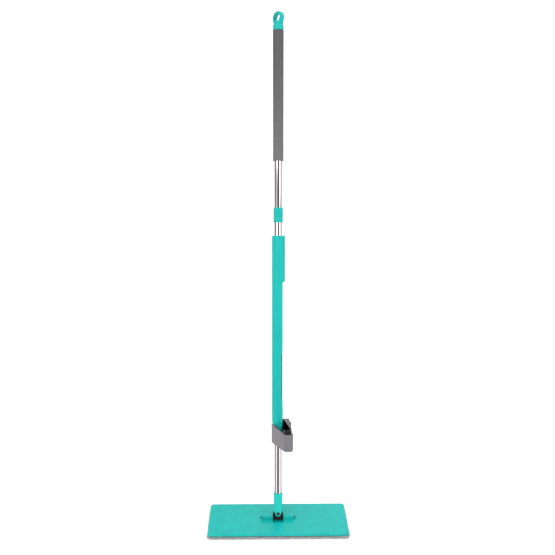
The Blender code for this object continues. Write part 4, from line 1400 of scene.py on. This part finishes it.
@dataclass
class MopPad(SubAssembly):
    """The microfibre pad: a soft body, a stitched binding round its rim and tufts of pile."""

    corner: float = 0.0070
    proud: float = -0.0004
    wave: float = 0.0005
    curl_x: float = 0.038
    curl_y: float = 0.030
    curl_height: float = 0.0036
    binding_lift: float = 0.0012
    pitch: float = 0.0016
    tuft_radius: float = 0.0011
    tuft_length: float = 0.0042
    tuft_pitch: float = 0.0050
    bulge: float = 0.0018
    ravel: float = 0.0007
    stitch: float = 0.0026
    binding_pitch: float = 0.00065
    seed: int = 7

    def build(self) -> None:
        """Make the pad's body, binding and pile."""
        self.low, self.high = (np.array(corner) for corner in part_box("mop_pad"))
        self.half = self.high[:2] + self.proud
        self.thick = self.high[2] - self.low[2]
        self.body()
        self.binding()
        self.pile()

    def _ripple(self, x: Array, y: Array, length: float) -> Array:
        """Return a soft wave from -1 to 1: four sines of unlike lengths, multiplied in pairs."""
        a, b = 2.0 * math.pi * x / length, 2.0 * math.pi * y / length
        return 0.5 * (np.sin(a + 1.7 * np.sin(0.61 * b)) * np.cos(0.83 * b + 0.4)
                      + np.sin(0.57 * a + 2.1) * np.sin(1.37 * b + 1.3 * np.sin(0.43 * a)))

    def _curl(self, x: Array, y: Array) -> Array:
        """Return how far the pad's front right corner lifts, from 0 to 1."""
        reach = (self.half[0] - x) / self.curl_x + (y + self.half[1]) / self.curl_y
        return eased(np.clip(1.0 - reach, 0.0, 1.0))

    def body(self) -> None:
        """Make the pad's body: a section with bulging sides carried along the head."""
        half_x, half_y = self.half
        xs = np.linspace(-1.0, 1.0, int(2.0 * half_x / self.pitch))
        xs = half_x * np.sign(xs) * (1.0 - (1.0 - np.abs(xs)) ** 1.12)
        past = np.maximum(np.abs(xs) - (half_x - self.corner), 0.0)
        width = half_y - self.corner + np.sqrt(np.maximum(self.corner**2 - past**2, 0.0))
        share = np.sin(np.linspace(-1.0, 1.0, int(2.0 * half_y / self.pitch)) * math.pi / 2.0 * 0.94)
        share /= share.max()
        side = np.linspace(-math.pi / 2.0, math.pi / 2.0, 9)[1:-1]
        bulge = self.bulge
        across = np.concatenate([share, 1.0 + 0.0 * side, share[::-1], -1.0 + 0.0 * side])
        out = np.concatenate([0.0 * share, bulge * np.cos(side), 0.0 * share, -bulge * np.cos(side)])
        level = np.concatenate([-1.0 + 0.0 * share, np.sin(side), 1.0 + 0.0 * share, -np.sin(side)])
        y = (width[:, None] - bulge) * across[None, :] + out[None, :]
        x = np.broadcast_to(xs[:, None], y.shape)
        middle = self.low[2] + self.thick / 2.0
        z = middle + level[None, :] * (self.thick / 2.0 - self.wave)
        edge = np.clip(1.0 + slab_distance(x, y, half_x, half_y, self.corner) / 0.006, 0.0, 1.0)
        lower = np.clip(0.5 - level[None, :], 0.0, 1.0)
        z = z + self._ripple(x, y, 0.009) * self.wave * lower + self._curl(x, y) * self.curl_height * lower
        x = x + self.ravel * edge * self._ripple(y, x, 0.019) * np.sign(x)
        y = y + self.ravel * edge * self._ripple(x, y, 0.023) * np.sign(y)
        patch = grid(np.stack([x, y, np.maximum(z, self.low[2])], axis=-1), fill_ends=True)
        piece = self.add("mop_pad_body", [patch], Finish.PILE, "head", ["mop_pad"], 60.0)

    def _rim(self, spread: float, pitch: float) -> tuple[Array, Array]:
        """Return places round the pad's rim and their outward directions.

        Args:
            spread: Distance outside the pad's outline.
            pitch: Distance between places.

        Returns:
            Places and directions, each as (x, y).
        """
        half_x, half_y = self.half + spread
        corners = [(-half_x, -half_y), (half_x, -half_y), (half_x, half_y), (-half_x, half_y)]
        rim = evenly(filleted(corners, self.corner + spread, 10), pitch)
        edge = np.roll(rim, -1, axis=0) - np.roll(rim, 1, axis=0)
        return rim, unit(np.stack([edge[:, 1], -edge[:, 0]], axis=1))

    def binding(self) -> None:
        """Make the stitched binding: an oval cord round the rim that swells between stitches."""
        rim, out = self._rim(-0.0006, self.binding_pitch)
        turn = np.linspace(0.0, 2.0 * math.pi, 10, endpoint=False)
        run = np.arange(len(rim)) / len(rim) * 2.0 * math.pi
        stitches = round(len(rim) * self.binding_pitch / self.stitch)
        swell = 0.80 + 0.20 * np.abs(np.sin(run * stitches / 2.0))
        wander = 0.0004 * self._ripple(rim[:, 0], rim[:, 1], 0.031)
        offset = (0.0011 * np.cos(turn)[None, :] * swell[:, None]) + wander[:, None]
        place = rim[:, None] + out[:, None] * offset[..., None]
        height = self.high[2] - 0.0017 + 0.0015 * np.sin(turn)[None, :] * swell[:, None]
        height = height + wander[:, None] + self.binding_lift * self._curl(place[..., 0], place[..., 1])
        patch = grid(np.concatenate([place, height[..., None]], axis=-1), rows_close=True)
        self.add("pad_edge_binding", [patch], Finish.BINDING, "head", (), 60.0)

    def pile(self) -> None:
        """Make tufts of pile: two rows round the rim and staggered rows over the underside."""
        draw = np.random.default_rng(self.seed)
        places, leans = [], []
        for spread, height, tilt in ((-0.0014, 0.0046, 0.95), (-0.0022, 0.0026, 0.45)):
            rim, out = self._rim(spread, 0.0021)
            places.append(np.column_stack([rim, np.full(len(rim), self.low[2] + height)]))
            leans.append(np.column_stack([out * tilt, np.full(len(out), tilt - 1.15)]))
        xs, ys = (np.arange(-h + 0.004, h - 0.003, self.tuft_pitch) for h in self.half)
        x, y = np.meshgrid(xs, ys, indexing="ij")
        x = x + self.tuft_pitch / 2.0 * (np.arange(len(ys)) % 2)
        inside = slab_distance(x, y, *self.half, self.corner) < -0.003
        places.append(np.column_stack([x[inside], y[inside], np.full(inside.sum(), self.low[2] + 0.0030)]))
        leans.append(np.tile([0.0, 0.0, -1.0], (inside.sum(), 1)))
        place, lean = np.concatenate(places), np.concatenate(leans)
        place = place + draw.normal(0.0, 0.0004, place.shape) * [1.0, 1.0, 0.5]
        lean = unit(lean + draw.normal(0.0, 0.22, lean.shape))
        patch = self._tufts(place, lean, draw.uniform(0.75, 1.15, len(place)))
        self.add("pad_pile_tufts", [patch], Finish.PILE, "head", (), 70.0)

    def _tufts(self, place: Array, lean: Array, size: Array) -> Patch:
        """Return many short tapered tufts as one patch.

        Each tuft is rings of radius r(t) about a line from its place along its lean, where
        r(t) rises and falls as sin(pi t), so both its tips are points.
        """
        helper = np.where(np.abs(lean[:, :1]) < 0.9, [[1.0, 0.0, 0.0]], [[0.0, 1.0, 0.0]])
        first = unit(np.cross(lean, helper))
        second = np.cross(lean, first)
        t = np.array([0.0, 0.30, 0.68, 0.92, 1.0])
        ring = self.tuft_radius * np.sin(np.array([0.0, 0.42, 0.60, 0.86, 1.0]) * math.pi) ** 0.6
        turn = np.linspace(0.0, 2.0 * math.pi, 6, endpoint=False)
        side = first[:, None] * np.cos(turn)[None, :, None] + second[:, None] * np.sin(turn)[None, :, None]
        line = place[:, None] + lean[:, None] * (t * self.tuft_length)[None, :, None] * size[:, None, None]
        points = line[:, :, None] + side[:, None] * (ring[None, :, None, None] * size[:, None, None, None])
        one = grid(np.zeros((len(t), len(turn), 3)))
        count, each = len(place), len(t) * len(turn)
        quads = one.quads[None] + (np.arange(count) * each)[:, None, None]
        points[..., 2] = np.maximum(points[..., 2], self.low[2] + 0.0001)
        return Patch(points.reshape(-1, 3), quads.reshape(-1, 4))


# ---- studio -------------------------------------------------------------------------------------
@dataclass(frozen=True)
class Studio:
    """A pale floor, a white sheet behind it, three soft lights, dark cards and the camera.

    The steel mirrors the cards and the strips at their feet as dark lines; they aren't seen
    themselves. Floor and sheet glow faintly, so that they read as white.
    """

    camera_place: tuple[float, float, float] = (-0.0380, -1.4720, 1.0456)
    pitch: float = math.radians(15.379)
    yaw: float = math.radians(1.278)
    roll: float = math.radians(0.36)
    lens: float = 43.79
    surround: float = 0.86
    floor_glow: float = 0.30
    card_distance: float = 3.2
    strip_start: float = 0.20
    card_top: float = 4.0
    floor_reach: float = 14.0
    aim: tuple[float, float, float] = (0.0, 0.12, 0.55)

    def build(self) -> None:
        """Make the surroundings, floor, cards, lights and camera."""
        self.world()
        self.floor()
        self.backdrop()
        for name, azimuth, half_width, tone in (("front", -3.0, 23.0, 0.0), ("left", -88.0, 17.0, 0.10),
                                                ("right", 92.0, 13.0, 0.34), ("back", 196.0, 9.0, 0.25)):
            self.card(name, math.radians(azimuth), math.radians(half_width), tone)
        self.light("key", (-1.6, -2.2, 2.6), 1.8, 26.0)
        self.light("fill", (1.9, -1.4, 1.9), 1.6, 12.0)
        self.light("top", (0.0, 0.3, 3.2), 2.4, 22.0)
        self.camera()

    def world(self) -> None:
        """Fill the surroundings with an even white."""
        world = bpy.data.worlds.new("white_room")
        world.use_nodes = True
        background = world.node_tree.nodes["Background"]
        background.inputs["Color"].default_value = (1.0, 1.0, 1.0, 1.0)
        background.inputs["Strength"].default_value = self.surround
        bpy.context.scene.world = world
        bpy.context.scene.view_settings.view_transform = "Standard"

    def plane(self, name: str, corners: Sequence[Sequence[float]]) -> bpy.types.Object:
        """Put one flat stage piece in the scene."""
        mesh = bpy.data.meshes.new(name)
        mesh.from_pydata([tuple(corner) for corner in corners], [], [(0, 1, 2, 3)])
        made = bpy.data.objects.new(name, mesh)
        bpy.context.scene.collection.objects.link(made)
        return made

    def floor(self) -> None:
        """Lay the pale floor."""
        reach = self.floor_reach
        floor = self.plane("floor", [(-reach, -reach, -0.0002), (reach, -reach, -0.0002),
                                     (reach, reach, -0.0002), (-reach, reach, -0.0002)])
        board = Board("pale_floor")
        tone = board.noise(board.node("ShaderNodeTexCoord", {}, {}, "Object"), 9.0, 3.0)
        colour = board.blend(tone, (0.80, 0.80, 0.80), (0.82, 0.82, 0.82))
        glow = {"Roughness": 0.9, "Specular IOR Level": 0.1, "Emission Color": (1.0, 1.0, 1.0, 1.0),
                "Emission Strength": self.floor_glow}
        floor.data.materials.append(board.finish({"Base Color": colour}, glow))

    def backdrop(self) -> None:
        """Stand a plain white sheet behind the floor's far edge."""
        reach, far, high = self.floor_reach, self.floor_reach - 0.1, 12.0
        sheet = self.plane("backdrop", [(-reach, far, -0.1), (reach, far, -0.1), (reach, far, high),
                                        (-reach, far, high)])
        board = Board("white_sheet")
        glow = {"Base Color": (0.8, 0.8, 0.8, 1.0), "Roughness": 1.0, "Specular IOR Level": 0.0,
                "Emission Color": (1.0, 1.0, 1.0, 1.0), "Emission Strength": 0.6}
        sheet.data.materials.append(board.finish({}, glow))

    def card(self, name: str, azimuth: float, half_width: float, tone: float) -> None:
        """Stand a card round the mop, with a strip at its foot, that only reflections show.

        Args:
            name: The card's name.
            azimuth: Direction from the mop, 0 towards the front and positive towards +X.
            half_width: Half the angle it spans.
            tone: Brightness it sends.
        """
        edges = [azimuth - half_width, azimuth + half_width]
        near, far = [[(reach * math.sin(a), -reach * math.cos(a)) for a in edges]
                     for reach in (self.strip_start, self.card_distance)]
        low, high = 0.0004, self.card_top
        shapes = {"card": [(*far[0], low), (*far[1], low), (*far[1], high), (*far[0], high)],
                  "strip": [(*near[0], low), (*near[1], low), (*far[1], low), (*far[0], low)]}
        for kind, corners in shapes.items():
            card = self.plane(f"{kind}_{name}", corners)
            board = Board(f"{kind}_{name}")
            grey = (tone, tone, tone, 1.0)
            card.data.materials.append(board.finish({}, {"Base Color": (0.0, 0.0, 0.0, 1.0), "Roughness": 1.0,
                                                         "Specular IOR Level": 0.0, "Emission Color": grey,
                                                         "Emission Strength": 1.0}))
            card.visible_camera = False
            card.visible_diffuse = False
            card.visible_shadow = False

    def light(self, name: str, place: Sequence[float], size: float, power: float) -> None:
        """Hang a soft square light that points at the mop's middle."""
        lamp = bpy.data.lights.new(name, "AREA")
        lamp.shape, lamp.size, lamp.energy = "SQUARE", size, power
        holder = bpy.data.objects.new(name, lamp)
        holder.location = place
        aim = Vector(self.aim) - holder.location
        holder.rotation_euler = aim.to_track_quat("-Z", "Y").to_euler()
        holder.visible_camera = False
        bpy.context.scene.collection.objects.link(holder)

    def camera(self) -> None:
        """Set the camera: turned by its yaw, pitched down and rolled slightly, with no shift."""
        data = bpy.data.cameras.new("camera")
        data.lens, data.sensor_width = self.lens, 36.0
        data.clip_start, data.clip_end = 0.05, 60.0
        camera = bpy.data.objects.new("camera", data)
        camera.location = self.camera_place
        aim = Matrix.Rotation(-self.yaw, 3, "Z") @ Matrix.Rotation(math.pi / 2 - self.pitch, 3, "X")
        camera.rotation_euler = (aim @ Matrix.Rotation(self.roll, 3, "Z")).to_euler()
        bpy.context.scene.collection.objects.link(camera)
        bpy.context.scene.camera = camera


def main() -> None:
    """Build the studio and every sub-assembly."""
    logging.basicConfig(level=logging.INFO, format="%(name)s: %(message)s")
    pole, head = pole_seat(), head_seat()
    Studio().build()
    assemblies = [Pole(pole), Handle(pole), Collar(pole), Sleeve(pole), Wringer(pole), JointCross(pole),
                  Head(head), MopPad(head)]
    for assembly in assemblies:
        assembly.build()
        log.info("%s done", type(assembly).__name__)


if __name__ == "__main__":
    main()
